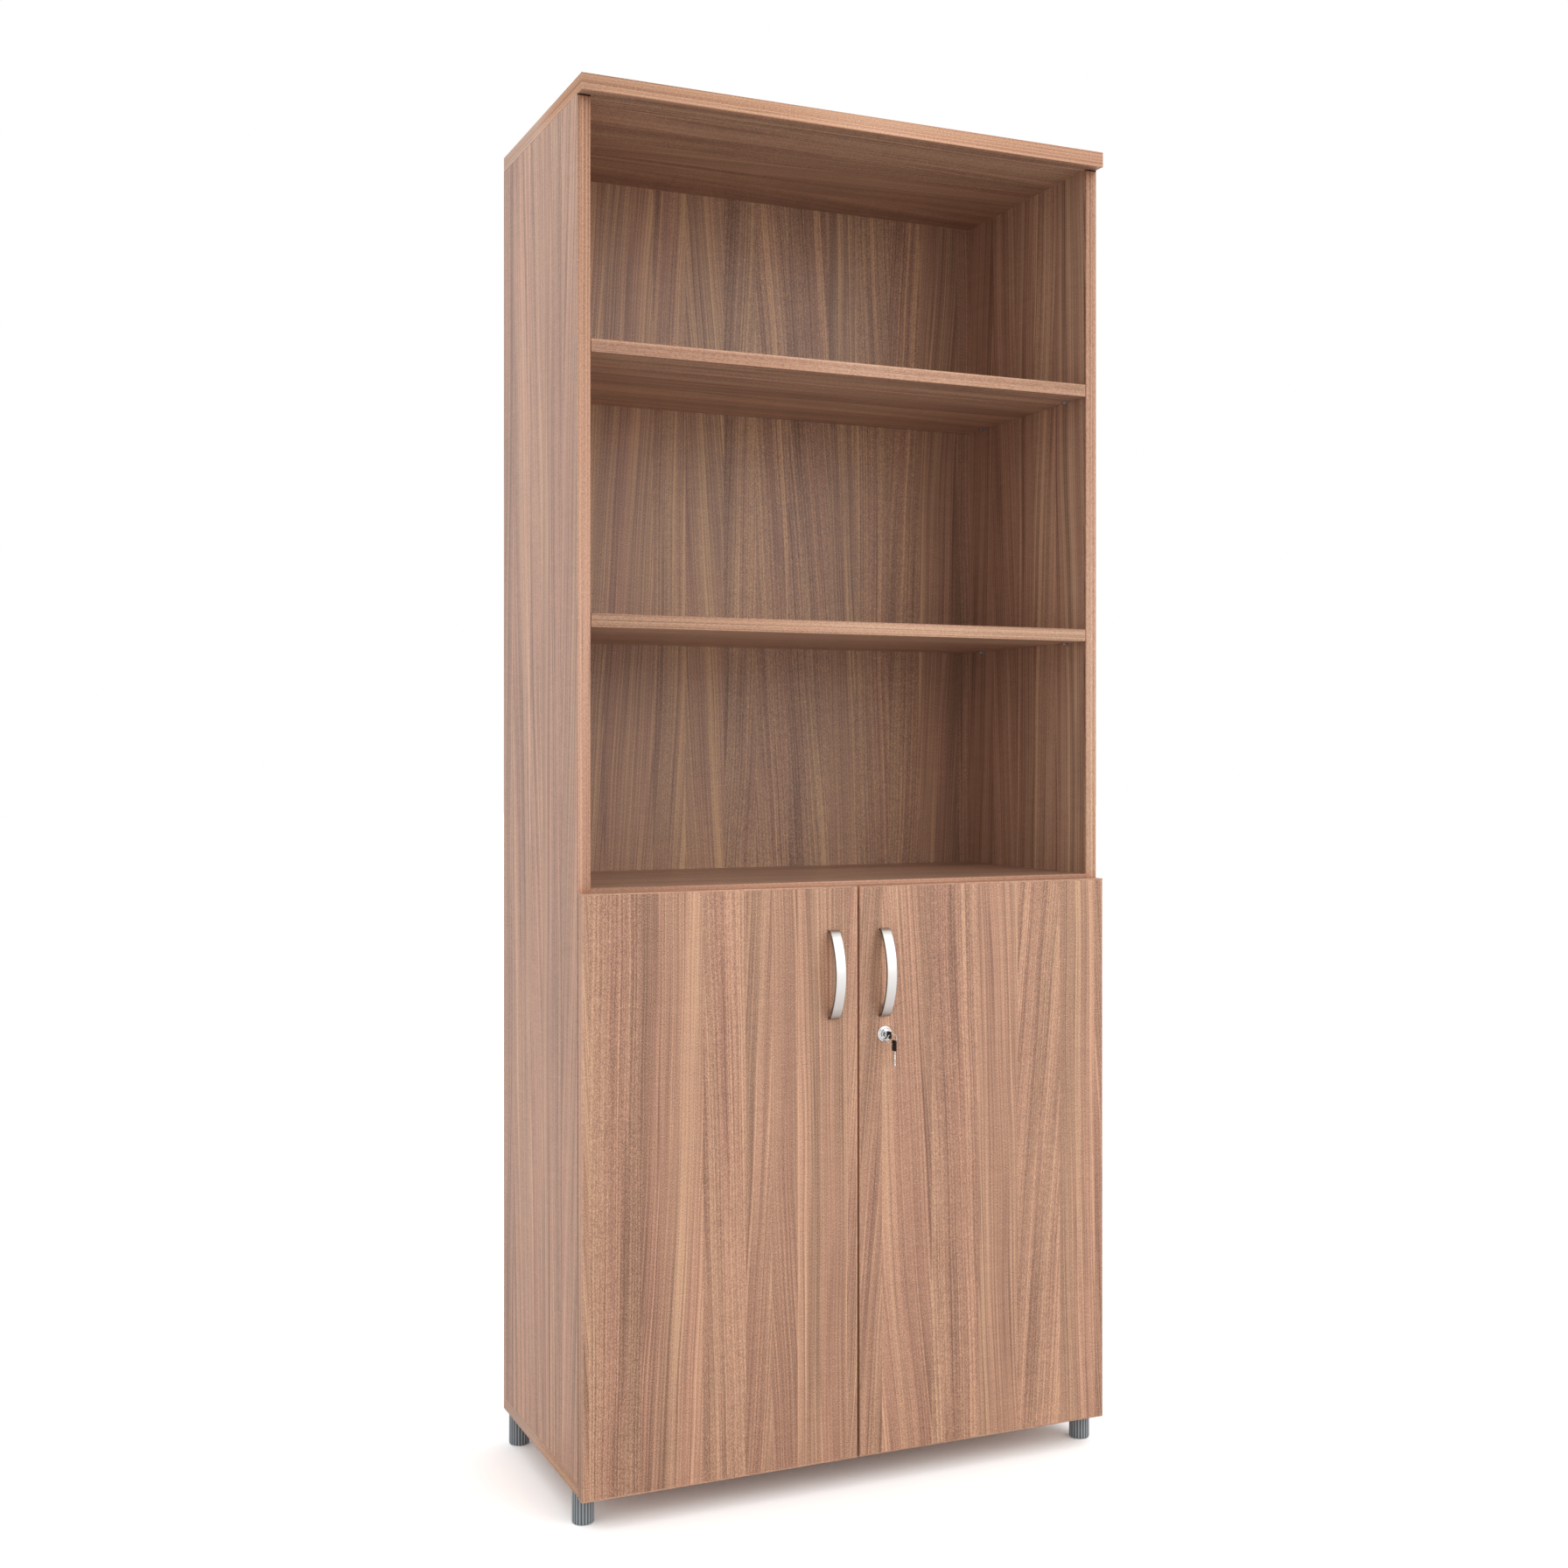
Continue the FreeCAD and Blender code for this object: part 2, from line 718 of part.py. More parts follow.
# Side view of the space under the band, from the door to a line at the given depth below the band's front
def bow_space(x0, inset):
    bow = handle_bow_radius - inset
    bend = handle_bend_radius - inset
    bow_y = face_y - handle_projection + handle_bow_radius
    bend_y = face_y - handle_leg
    turn = math.asin(handle_bend_z / (handle_bow_radius - handle_bend_radius))
    halfway = (turn + math.pi / 2) / 2

    def on_bow(angle):
        return point(x0, bow_y - bow * math.cos(angle), handle_z + bow * math.sin(angle))

    def on_bend(angle, way):
        rise = handle_bend_z + bend * math.sin(angle)
        return point(x0, bend_y - bend * math.cos(angle), handle_z + way * rise)

    edges = [Part.Arc(on_bow(-turn), on_bow(0.0), on_bow(turn)).toShape()]
    ends = []
    for way in (1, -1):
        top = on_bend(math.pi / 2, way)
        ends.append(point(x0, face_y, top.z))
        edges.append(Part.Arc(on_bend(turn, way), on_bend(halfway, way), top).toShape())
        edges.append(Part.makeLine(top, ends[-1]))
    edges.append(Part.makeLine(*ends))
    return slab(Part.Wire(Part.__sortEdges__(edges)), handle_width)


def handle(side):
    x0 = side * (door_edge_x + handle_inset) - handle_width / 2
    whole = bow_space(x0, 0.0)
    bosses = []
    holes = []
    for z in handle_hole_heights():
        start = point(x0 + handle_width / 2, face_y, z)
        boss = rod(start, forward, handle_boss_radius, handle_projection)
        bosses.append(boss.common(whole))
        holes.append(rod(start, forward, handle_screw_radius + screw_clearance, handle_screw_bite))
    return fuse([whole.cut(bow_space(x0, handle_band))] + bosses).cut(holes)


def handle_screws(side):
    screws = []
    for z in handle_hole_heights():
        start = point(side * (door_edge_x + handle_inset), door_back_y, z)
        shank = rod(start, forward, handle_screw_radius, door_board + handle_screw_bite)
        head = rod(start, backward, handle_screw_head_radius, handle_screw_head)
        screws.append(fuse([shank, head]))
    return Part.makeCompound(screws)


# Lock
def lock_point(y):
    return point(lock_x, y, lock_z)


def lock_rosette():
    disc = rod(lock_point(face_y), forward, rosette_radius, rosette_thickness)
    rim = [edge for edge in disc.Edges if abs(edge.BoundBox.YMin - (face_y - rosette_thickness)) < 1e-6
           and edge.Closed]
    disc = disc.makeFillet(rosette_round, rim[:1])
    return disc.cut(rod(lock_point(face_y), forward, barrel_radius, rosette_thickness))


def lock_barrel():
    start = face_y - rosette_thickness - barrel_nose
    length = door_back_y + barrel_tail - start
    body = rod(lock_point(start), backward, barrel_radius, length)
    return body.cut(rod(lock_point(start), backward, plug_radius + plug_clearance, length))


def lock_plug():
    start = face_y - rosette_thickness - plug_nose
    stop = door_back_y + barrel_tail + plug_collar
    body = rod(lock_point(start), backward, plug_radius, stop - start)
    hub = rod(lock_point(stop), backward, cam_hub_radius, cam_thickness)
    half_x = key_thickness / 2 + keyway_clearance
    half_z = key_height / 2 + keyway_clearance
    keyway = block(lock_x - half_x, lock_x + half_x, start, face_y + key_insert + keyway_clearance,
                   lock_z - half_z, lock_z + half_z)
    thread = rod(lock_point(stop + cam_thickness), forward, cam_screw_radius, cam_screw_length)
    return fuse([body, hub]).cut([keyway, thread])


def lock_cam():
    y0 = door_back_y + barrel_tail + plug_collar
    hub = rod(lock_point(y0), backward, cam_width / 2, cam_thickness)
    blade = block(lock_x - cam_width / 2, lock_x + cam_width / 2, y0, y0 + cam_thickness,
                  lock_z - cam_length, lock_z)
    bore = rod(lock_point(y0), backward, cam_hub_radius, cam_thickness)
    return fuse([hub, blade]).cut(bore)


def lock_cam_screw():
    y0 = door_back_y + barrel_tail + plug_collar + cam_thickness
    shank = rod(lock_point(y0), forward, cam_screw_radius, cam_screw_length)
    head = rod(lock_point(y0), backward, cam_screw_head_radius + screw_clearance, cam_screw_head)
    return fuse([shank, head])


def lock_nut():
    outer = rod(lock_point(door_back_y), backward, nut_radius, nut_thickness)
    return outer.cut(rod(lock_point(door_back_y), backward, barrel_radius, nut_thickness))


# A key bow: a flat plate with two rounded corners at the end that holds the ring hole. It starts at its
# blade end, runs along the given way and stands in the Y-Z plane.
def key_bow(blade_end, way, across, length):
    half = bow_height / 2
    start = blade_end - rightward * (bow_thickness / 2)
    tip = start + way * length
    corners = [start + across * half, tip + across * half, tip - across * half, start - across * half]
    plate = slab(Part.makePolygon(corners + corners[:1]), bow_thickness)
    far = [edge for edge in plate.Edges if abs(edge.Length - bow_thickness) < 1e-6
           and abs((edge.CenterOfMass - tip).dot(way)) < 1e-6]
    hole = rod(start + way * (length - bow_hole_margin), rightward, bow_hole_radius, bow_thickness)
    return plate.makeFillet(bow_round, far).cut(hole)


def key_blade():
    start = face_y - key_neck - bow_socket
    return block(lock_x - key_thickness / 2, lock_x + key_thickness / 2, start, face_y + key_insert,
                 lock_z - key_height / 2, lock_z + key_height / 2)


def inserted_key_bow():
    return key_bow(lock_point(face_y - key_neck), forward, up, bow_length).cut(key_blade())


def key_ring():
    return Part.makeTorus(ring_radius, ring_wire_radius, point(ring_x, key_hole_y, ring_z), forward)


def spare_bow_end_z():
    return spare_hole_z + bow_hole_margin - spare_bow_length


def spare_key_blade():
    top = spare_bow_end_z() + bow_socket
    low = spare_bow_end_z() - spare_blade_length
    half = spare_blade_height / 2
    tip = half
    outline = [(-half, top), (half, top), (half, low + tip), (0.0, low), (-half, low + tip)]
    x0 = spare_x - key_thickness / 2
    corners = [point(x0, key_hole_y + y, z) for y, z in outline]
    return slab(Part.makePolygon(corners + corners[:1]), key_thickness)


def spare_key_bow():
    start = point(spare_x, key_hole_y, spare_bow_end_z())
    return key_bow(start, up, backward, spare_bow_length).cut(spare_key_blade())


# Left door: the plate that the lock's cam catches, and the barrel bolt that holds the door shut
def lock_strike():
    x1 = -(door_edge_x + strike_inset)
    plate = block(x1 - strike_width, x1, door_back_y, door_back_y + strike_thickness,
                  lock_z - strike_height / 2, lock_z + strike_height / 2)
    return plate.cut([screw_shank(place, screw_clearance) for place in door_screw_places(left)])


def bolt_plate_middle():
    return bolt_top_z - bolt_plate_drop - bolt_plate_height / 2


def bolt_case():
    middle = bolt_plate_middle()
    low, high = middle - bolt_plate_height / 2, middle + bolt_plate_height / 2
    plate = block(bolt_x - bolt_plate_width / 2, bolt_x + bolt_plate_width / 2,
                  door_back_y, door_back_y + bolt_plate, low, high)
    reach = bolt_radius + bolt_clearance + bolt_guide_wall
    guides = [block(bolt_x - reach, bolt_x + reach, door_back_y + bolt_plate, bolt_y + reach,
                    z, z + bolt_guide_height)
              for z in (low, high - bolt_guide_height)]
    bore = rod(point(bolt_x, bolt_y, low), up, bolt_radius + bolt_clearance, bolt_plate_height)
    screws = [screw_shank(place, screw_clearance) for place in door_screw_places(left)]
    return fuse([plate] + guides).cut([bore] + screws)


def slide_bolt():
    bar = rod(point(bolt_x, bolt_y, bolt_top_z - bolt_length), up, bolt_radius, bolt_length)
    middle = bolt_plate_middle() - bolt_travel / 2
    knob = rod(point(bolt_x, bolt_y, middle), backward, bolt_knob_radius, bolt_radius + bolt_knob_length)
    return fuse([bar, knob])


# Screw feet: a ribbed plastic column with a stem that turns in an insert in the bottom board
def foot_places():
    front = face_y + foot_front_inset
    back = rear_y - foot_back_inset
    x = half_width - foot_side_inset
    return {
        "front_left_foot": point(-x, front, foot_height),
        "front_right_foot": point(x, front, foot_height),
        "back_left_foot": point(-x, back, foot_height),
        "back_right_foot": point(x, back, foot_height),
    }


def foot(place):
    base = point(place.x, place.y, 0.0)
    column = rod(base, up, foot_radius, foot_height)
    low_rim = [edge for edge in column.Edges if edge.Closed and edge.BoundBox.ZMax < foot_height / 2]
    column = column.makeChamfer(foot_chamfer, low_rim[:1])
    pitch = 2 * math.pi / foot_ribs
    groove_radius = foot_radius * pitch / 4
    grooves = []
    for rib in range(foot_ribs):
        angle = rib * pitch
        reach = foot_radius + groove_radius - foot_rib_depth
        centre = base + point(reach * math.cos(angle), reach * math.sin(angle), 0.0)
        grooves.append(rod(centre, up, groove_radius, foot_height))
    stem = rod(place, up, stem_radius, stem_length)
    return fuse([column.cut(grooves), stem])


def foot_inserts():
    inserts = []
    for place in foot_places().values():
        sleeve = rod(place, up, insert_radius, insert_length)
        inserts.append(sleeve.cut(rod(place, up, stem_radius + stem_clearance, insert_length)))
    return Part.makeCompound(inserts)


def each_hinge(make, sides):
    return Part.makeCompound([make(z, side) for side in sides for z in hinge_heights])


parts = {
    "top_panel": top_panel(),
    "top_edging": board_edging(face_y, ceiling_z, height),
    "bottom_panel": bottom_panel(),
    "bottom_edging": board_edging(carcass_y, foot_height, floor_z),
    "left_side_panel": side_panel(left),
    "right_side_panel": side_panel(right),
    "side_edging": side_edging(),
    "back_panel": back_panel(),
    "fixed_shelf": fixed_shelf(),
    "middle_shelf": loose_shelf(middle_shelf_top, 0.0),
    "upper_shelf": loose_shelf(upper_shelf_top, 0.0),
    "cupboard_shelf": loose_shelf(cupboard_shelf_top, cupboard_shelf_setback),
    "shelf_edging": shelf_edging(),
    "shelf_pins": shelf_pins(),
    "carcass_dowels": carcass_dowels(),
    "door_bumpers": door_bumpers(),
    "hinge_plates": each_hinge(mounting_plate, (left, right)),
    "hinge_plate_screws": hinge_plate_screws(),
    "hinge_arms": each_hinge(hinge_arm, (left, right)),
    "hinge_arm_screws": hinge_arm_screws(),
    "hinge_arm_pins": hinge_arm_pins(),
    "lock_strike": lock_strike(),
    "bolt_case": bolt_case(),
    "slide_bolt": slide_bolt(),
    "lock_rosette": lock_rosette(),
    "lock_barrel": lock_barrel(),
    "lock_nut": lock_nut(),
    "lock_plug": lock_plug(),
    "lock_cam": lock_cam(),
    "lock_cam_screw": lock_cam_screw(),
    "key_blade": key_blade(),
    "key_bow": inserted_key_bow(),
    "key_ring": key_ring(),
    "spare_key_blade": spare_key_blade(),
    "spare_key_bow": spare_key_bow(),
    "foot_inserts": foot_inserts(),
}
for side_name, side in (("left", left), ("right", right)):
    parts[side_name + "_door_panel"] = door_panel(side)
    parts[side_name + "_door_edging"] = door_edging(side)
    parts[side_name + "_door_screws"] = door_screws(side)
    parts[side_name + "_handle"] = handle(side)
    parts[side_name + "_handle_screws"] = handle_screws(side)
    parts[side_name + "_hinge_cups"] = each_hinge(hinge_cup, (side,))
    parts[side_name + "_hinge_cup_pins"] = hinge_cup_pins(side)
    parts[side_name + "_outer_links"] = each_hinge(outer_link, (side,))
    parts[side_name + "_inner_links"] = each_hinge(inner_link, (side,))
for foot_name, place in foot_places().items():
    parts[foot_name] = foot(place)

os.makedirs("parts", exist_ok=True)
for node, shape in parts.items():
    shape.exportStep("parts/" + node + ".step")
print(len(parts), "sub-parts")
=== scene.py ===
import bmesh
import bpy
import json
import math
from mathutils import Matrix, Vector


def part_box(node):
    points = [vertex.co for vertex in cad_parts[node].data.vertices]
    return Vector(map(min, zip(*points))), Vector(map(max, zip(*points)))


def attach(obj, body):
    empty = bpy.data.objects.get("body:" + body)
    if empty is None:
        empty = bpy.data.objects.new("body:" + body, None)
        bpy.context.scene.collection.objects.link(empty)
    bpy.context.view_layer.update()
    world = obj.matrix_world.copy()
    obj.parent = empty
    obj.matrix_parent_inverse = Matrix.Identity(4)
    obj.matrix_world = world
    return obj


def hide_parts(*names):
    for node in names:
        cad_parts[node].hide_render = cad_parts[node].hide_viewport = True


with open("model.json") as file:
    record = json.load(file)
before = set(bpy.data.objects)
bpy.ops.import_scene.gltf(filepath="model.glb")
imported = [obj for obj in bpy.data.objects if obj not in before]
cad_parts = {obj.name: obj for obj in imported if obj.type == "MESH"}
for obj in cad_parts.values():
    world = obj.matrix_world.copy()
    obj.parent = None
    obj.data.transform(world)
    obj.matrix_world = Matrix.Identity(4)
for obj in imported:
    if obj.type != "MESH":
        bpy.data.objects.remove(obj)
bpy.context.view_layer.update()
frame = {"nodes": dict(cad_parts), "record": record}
nodes = frame["nodes"]
record = frame["record"]
bodyOf = {node: body for body, members in record["behaviour"]["bodies"].items() for node in members}
slotOf = {part["node"]: part["material_slot"] for part in record["subparts"]}
mm = 0.001
print("frame loaded:", len(nodes), "nodes")


# colours are written as sRGB hex and used as linear
def linear(hexText):
    channels = [int(hexText[i:i + 2], 16) / 255 for i in (1, 3, 5)]
    return tuple(c / 12.92 if c <= 0.04045 else ((c + 0.055) / 1.055) ** 2.4 for c in channels) + (1.0,)


# one node with its settings; each of its inputs gets a value, the output of another node, or a node, which
# stands for its first output
def addNode(tree, kind, inputs=None, **settings):
    node = tree.nodes.new(kind)
    for key, value in settings.items():
        setattr(node, key, value)
    for socket, value in (inputs or {}).items():
        if isinstance(value, bpy.types.Node):
            value = value.outputs[0]
        if isinstance(value, bpy.types.NodeSocket):
            tree.links.new(value, node.inputs[socket])
        else:
            node.inputs[socket].default_value = value
    return node


def newMaterial(name):
    material = bpy.data.materials.new(name)
    material.use_nodes = True
    material.node_tree.nodes.clear()
    return material, material.node_tree


def fillRamp(node, stops):
    elements = node.color_ramp.elements
    while len(elements) > 1:
        elements.remove(elements[-1])
    for i, (place, hexText) in enumerate(stops):
        element = elements[0] if i == 0 else elements.new(place)
        element.position = place
        element.color = linear(hexText)
    return node.outputs["Color"]


# the end of a material: one noise varies its gloss, and its face too where it has a bump (strength, depth)
def surfaced(tree, colour, noise, roughness, bump=None, **others):
    gloss = addNode(tree, "ShaderNodeMapRange", {
        "Value": noise, "To Min": roughness[0], "To Max": roughness[1]})
    inputs = {"Base Color": colour, "Roughness": gloss, **others}
    if bump:
        strength, depth = bump
        inputs["Normal"] = addNode(tree, "ShaderNodeBump", {
            "Height": noise, "Strength": strength, "Distance": depth * mm})
    shader = addNode(tree, "ShaderNodeBsdfPrincipled", inputs)
    addNode(tree, "ShaderNodeOutputMaterial", {"Surface": shader})


# Walnut-effect melamine: a printed paper pressed on chipboard under resin. The print shows leaves of veneer
# side by side with fine lines that lean and waver, groups of peach lines, brown flames and a speckle of
# pores, and the resin gives a dull even gloss that turns pale at a glancing angle.
# Sizes in millimetres are across the grain, then along it. The pores are really about 0.3 by 2 mm: they are
# drawn coarser, as specks that still show from across a room.
walnut = {
    "leaf": 62, "leafTone": 0.10, "leafSlope": 0.28, "lean": 0.08, "figures": 31,
    "bends": {"drift": ((150, 640), 15), "waver": ((26, 170), 2.0)},   # size and how far they push the lines
    # size, detail, weight in the tone, and the group of lines that it belongs to
    "layers": {
        "cloud": ((70, 240), 1.0, 0.18, None), "band": ((19, 1700), 1.0, 0.34, None),
        "line": ((1.5, 460), 1.5, 1.2, None), "fleck": ((1.0, 1.9), 0.0, 1.2, None),
        "ripple": ((48, 11), 1.0, 0.16, None),
        "glowGroup": ((12, 2400), 1.0, 0.0, None), "glow": ((2.2, 900), 1.5, 0.48, "glowGroup"),
        "flameGroup": ((16, 420), 1.0, 0.0, None), "flame": ((1.8, 150), 1.5, -0.36, "flameGroup"),
        "streak": ((2.2, 210), 1.0, 0.0, None), "hue": ((36, 1100), 1.0, 0.0, None),
    },
    # depth of the first bend and layer in the noise, and the step to the next one
    "bendDepth": (3.1, 4.6), "layerDepth": (11.3, 6.1), "layerRoughness": 0.55,
    "groupLimits": (0.52, 0.68), "pin": 5.4, "pinWeight": 0.085, "pinWander": 14.0,
    "streakLimits": (0.64, 0.8), "streakShare": 0.5, "streakColour": "#7A5A48",
    "stops": (0.0, 0.22, 0.5, 0.78, 1.0), "shades": ("#88614D", "#A37962", "#BE8E76", "#D4A386", "#E9B894"),
    "tints": ((0.35, "#FFFCFB"), (0.65, "#FBFFFA")),
    "roughness": (0.47, 0.33), "bump": (0.12, 0.15), "ior": 1.5,
}
# size of the chips and their shades: bare cores of the boards, and painted shade under the top board
coresAndGapShade = {"chipboard": (2.6, ("#8F7352", "#AD8F6B", "#C3A987")),
            "hardboard": (1.2, ("#7A5B40", "#8D6C4E", "#A08061")),
            # painted shade of the gap under the top board
            "joint": (0.8, ("#3B281F", "#463026", "#52392D"))}
chipStops = (0.1, 0.5, 0.9)


# across and along name the axes that run across and along the grain, seed shifts the print from board to
# board; beyond a given place on one axis the bare core shows, and on the side strips a painted shade of the
# gap.
# A mix of colours has its share at input 0, the colours at 6 and 7, and the result at output 2.
def walnutBoard(name, across, along, seed, look=walnut, coreAndShadeEdge=None, core="chipboard"):
    material, tree = newMaterial(name)
    place = addNode(tree, "ShaderNodeTexCoord").outputs["Object"]
    runs = [addNode(tree, "ShaderNodeVectorMath", {0: place, 1: [float(axis in letters) for axis in "XYZ"]},
                    operation="DOT_PRODUCT").outputs["Value"] for letters in (across, along)]
    acrossGrain = addNode(tree, "ShaderNodeMath", {0: runs[0], 1: seed}, operation="ADD")
    alongGrain = runs[1]
    # the leaves: each has its own tone, slope of tone, lean and figure
    leaf = addNode(tree, "ShaderNodeTexVoronoi", {"W": acrossGrain, "Scale": 1 / (look["leaf"] * mm)},
                   voronoi_dimensions="1D").outputs
    chance = addNode(tree, "ShaderNodeSeparateColor", {0: leaf["Color"]}).outputs
    middleTone = 0.5 - sum(weight for size, detail, weight, group in look["layers"].values() if not group) / 2
    slope, halfTone, lean = look["leafSlope"] / (look["leaf"] * mm), look["leafTone"] / 2, look["lean"]
    draws = {"slope": ("Red", -slope, slope), "figure": ("Red", seed, seed + look["figures"]),
             "lean": ("Green", -lean, lean), "tone": ("Blue", middleTone - halfTone, middleTone + halfTone)}
    drawn = {}
    for draw, (channel, least, most) in draws.items():
        drawn[draw] = addNode(tree, "ShaderNodeMapRange",
                              {"Value": chance[channel], "To Min": least, "To Max": most})
    leaned = addNode(tree, "ShaderNodeMath", {0: drawn["lean"], 1: alongGrain, 2: acrossGrain},
                     operation="MULTIPLY_ADD")
    fromMiddle = addNode(tree, "ShaderNodeMath", {0: acrossGrain, 1: leaf["W"]}, operation="SUBTRACT")
    tone = addNode(tree, "ShaderNodeMath", {0: fromMiddle, 1: drawn["slope"], 2: drawn["tone"]},
                   operation="MULTIPLY_ADD")
    grain = addNode(tree, "ShaderNodeCombineXYZ", {"X": leaned, "Y": alongGrain, "Z": drawn["figure"]})
    # the grain drifts and wavers as it runs along the board
    depth, depthStep = look["bendDepth"]
    for i, (size, by) in enumerate(look["bends"].values()):
        scaled = addNode(tree, "ShaderNodeVectorMath", {
            0: grain, 1: (1 / (size[0] * mm), 1 / (size[1] * mm), 1.0), 2: (0.0, 0.0, depth + depthStep * i)},
            operation="MULTIPLY_ADD")
        noise = addNode(tree, "ShaderNodeTexNoise", {"Vector": scaled, "Scale": 1.0, "Detail": 1.0})
        grain = addNode(tree, "ShaderNodeVectorMath", {0: noise, 1: (2 * by * mm, 0.0, 0.0), 2: grain},
                        operation="MULTIPLY_ADD")
    noises = {}
    groupLow, groupHigh = look["groupLimits"]
    depth, depthStep = look["layerDepth"]
    for i, (layer, (size, detail, weight, group)) in enumerate(look["layers"].items()):
        scaled = addNode(tree, "ShaderNodeVectorMath", {
            0: grain, 1: (1 / (size[0] * mm), 1 / (size[1] * mm), 1.0), 2: (0.0, 0.0, depth + depthStep * i)},
            operation="MULTIPLY_ADD")
        noises[layer] = addNode(tree, "ShaderNodeTexNoise", {
            "Vector": scaled, "Scale": 1.0, "Detail": detail, "Roughness": look["layerRoughness"]})
        if group:
            within = addNode(tree, "ShaderNodeMapRange", {
                "Value": noises[group], "From Min": groupLow, "From Max": groupHigh},
                interpolation_type="SMOOTHSTEP")
            noises[layer] = addNode(tree, "ShaderNodeMath", {0: noises[layer], 1: within},
                                    operation="MULTIPLY")
        if weight:
            tone = addNode(tree, "ShaderNodeMath", {0: noises[layer], 1: weight, 2: tone},
                           operation="MULTIPLY_ADD")
    # a close, even pinstripe runs through all of it
    bent = addNode(tree, "ShaderNodeVectorMath", {0: grain, 1: (2 * math.pi / (look["pin"] * mm), 0.0, 0.0)},
                   operation="DOT_PRODUCT").outputs["Value"]
    phase = addNode(tree, "ShaderNodeMath", {0: noises["band"], 1: look["pinWander"], 2: bent},
                    operation="MULTIPLY_ADD")
    stripe = addNode(tree, "ShaderNodeMath", {0: phase}, operation="SINE")
    tone = addNode(tree, "ShaderNodeMath", {0: stripe, 1: look["pinWeight"], 2: tone},
                   operation="MULTIPLY_ADD")
    colour = fillRamp(addNode(tree, "ShaderNodeValToRGB", {"Fac": tone}), zip(look["stops"], look["shades"]))
    # mauve and olive casts from stripe to stripe, and thin dark lines
    cast = fillRamp(addNode(tree, "ShaderNodeValToRGB", {"Fac": noises["hue"]}), look["tints"])
    colour = addNode(tree, "ShaderNodeMix", {0: 1.0, 6: colour, 7: cast}, data_type="RGBA",
                     blend_type="MULTIPLY").outputs[2]
    dark = addNode(tree, "ShaderNodeMapRange", {
        "Value": noises["streak"], "From Min": look["streakLimits"][0], "From Max": look["streakLimits"][1],
        "To Max": look["streakShare"]}, interpolation_type="SMOOTHSTEP")
    colour = addNode(tree, "ShaderNodeMix", {0: dark, 6: colour, 7: linear(look["streakColour"])},
                     data_type="RGBA").outputs[2]
    if coreAndShadeEdge:
        grit, shades = coresAndGapShade[core]
        chips = addNode(tree, "ShaderNodeTexVoronoi", {"Vector": place, "Scale": 1 / (grit * mm)})
        coreAndShadeColour = fillRamp(addNode(tree, "ShaderNodeValToRGB", {"Fac": chips.outputs["Color"]}),
                            zip(chipStops, shades))
        axis, edgePlace = coreAndShadeEdge
        spot = addNode(tree, "ShaderNodeSeparateXYZ", {0: place}).outputs[axis]
        beyond = addNode(tree, "ShaderNodeMath", {0: spot, 1: edgePlace}, operation="GREATER_THAN")
        colour = addNode(tree, "ShaderNodeMix", {0: beyond, 6: colour, 7: coreAndShadeColour},
                         data_type="RGBA").outputs[2]
    surfaced(tree, colour, noises["line"], look["roughness"], look["bump"], IOR=look["ior"])
    return material


def dress(material, *names):
    for name in names:
        slots = nodes[name].data.materials
        slots.clear()
        slots.append(material)


# boards seen in the shade of the case get a shaded copy of the print, a little less red: painted shade for
# the light inside the case; the back gets a darker copy still, also painted shade
paintedShadeInsideLook = dict(walnut, shades=("#826250", "#9B7966", "#B68F7A", "#CAA38B", "#DFB99A"))
paintedShadeBackLook = dict(walnut, shades=("#7F5D4B", "#987460", "#B18872", "#C89D7E", "#DDB388"))
# the sides show longer, quieter lines
sideLayers = dict(walnut["layers"], band=((24, 1900), 1.0, 0.75, None), line=((3.4, 700), 2.0, 1.25, None),
                  fleck=((1.25, 1.9), 0.0, 0.7, None))
# the left side gets a paler copy of the print: painted light on a side that the lamp from the right leaves
# dim
paintedLightSideLook = dict(walnut, layers=sideLayers, shades=("#8E644F", "#A97C64", "#C69178", "#DBA688", "#F2BC97"))
bareStrip = 0.5   # of the core, at the rear edges of the boards
rearEdge = ("Y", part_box("left_side_panel")[1].y - bareStrip * mm)
backMiddle = ("Y", (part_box("back_panel")[0].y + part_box("back_panel")[1].y) / 2)
boards = {
    "bottom_panel": ("Y", "X", 2.3, walnut), "left_side_panel": ("Y", "Z", 3.7, paintedLightSideLook),
    "left_door_panel": ("X", "Z", 12.1, walnut), "right_door_panel": ("X", "Z", 13.7, walnut),
    "right_side_panel": ("Y", "Z", 5.1, dict(paintedShadeInsideLook, layers=sideLayers)),
    "top_panel": ("Y", "X", 1.0, paintedShadeInsideLook), "fixed_shelf": ("Y", "X", 6.4, paintedShadeInsideLook),
    "middle_shelf": ("Y", "X", 7.9, paintedShadeInsideLook), "upper_shelf": ("Y", "X", 9.2, paintedShadeInsideLook),
    "cupboard_shelf": ("Y", "X", 10.6, paintedShadeInsideLook),
}
for name, (across, along, seed, look) in boards.items():
    dress(walnutBoard("walnutMelamine." + name, across, along, seed, look, rearEdge), name)
# the back is a thin hardboard with the print on its front only
dress(walnutBoard("walnutHardboard", "X", "Z", 15.2, paintedShadeBackLook, backMiddle, "hardboard"), "back_panel")

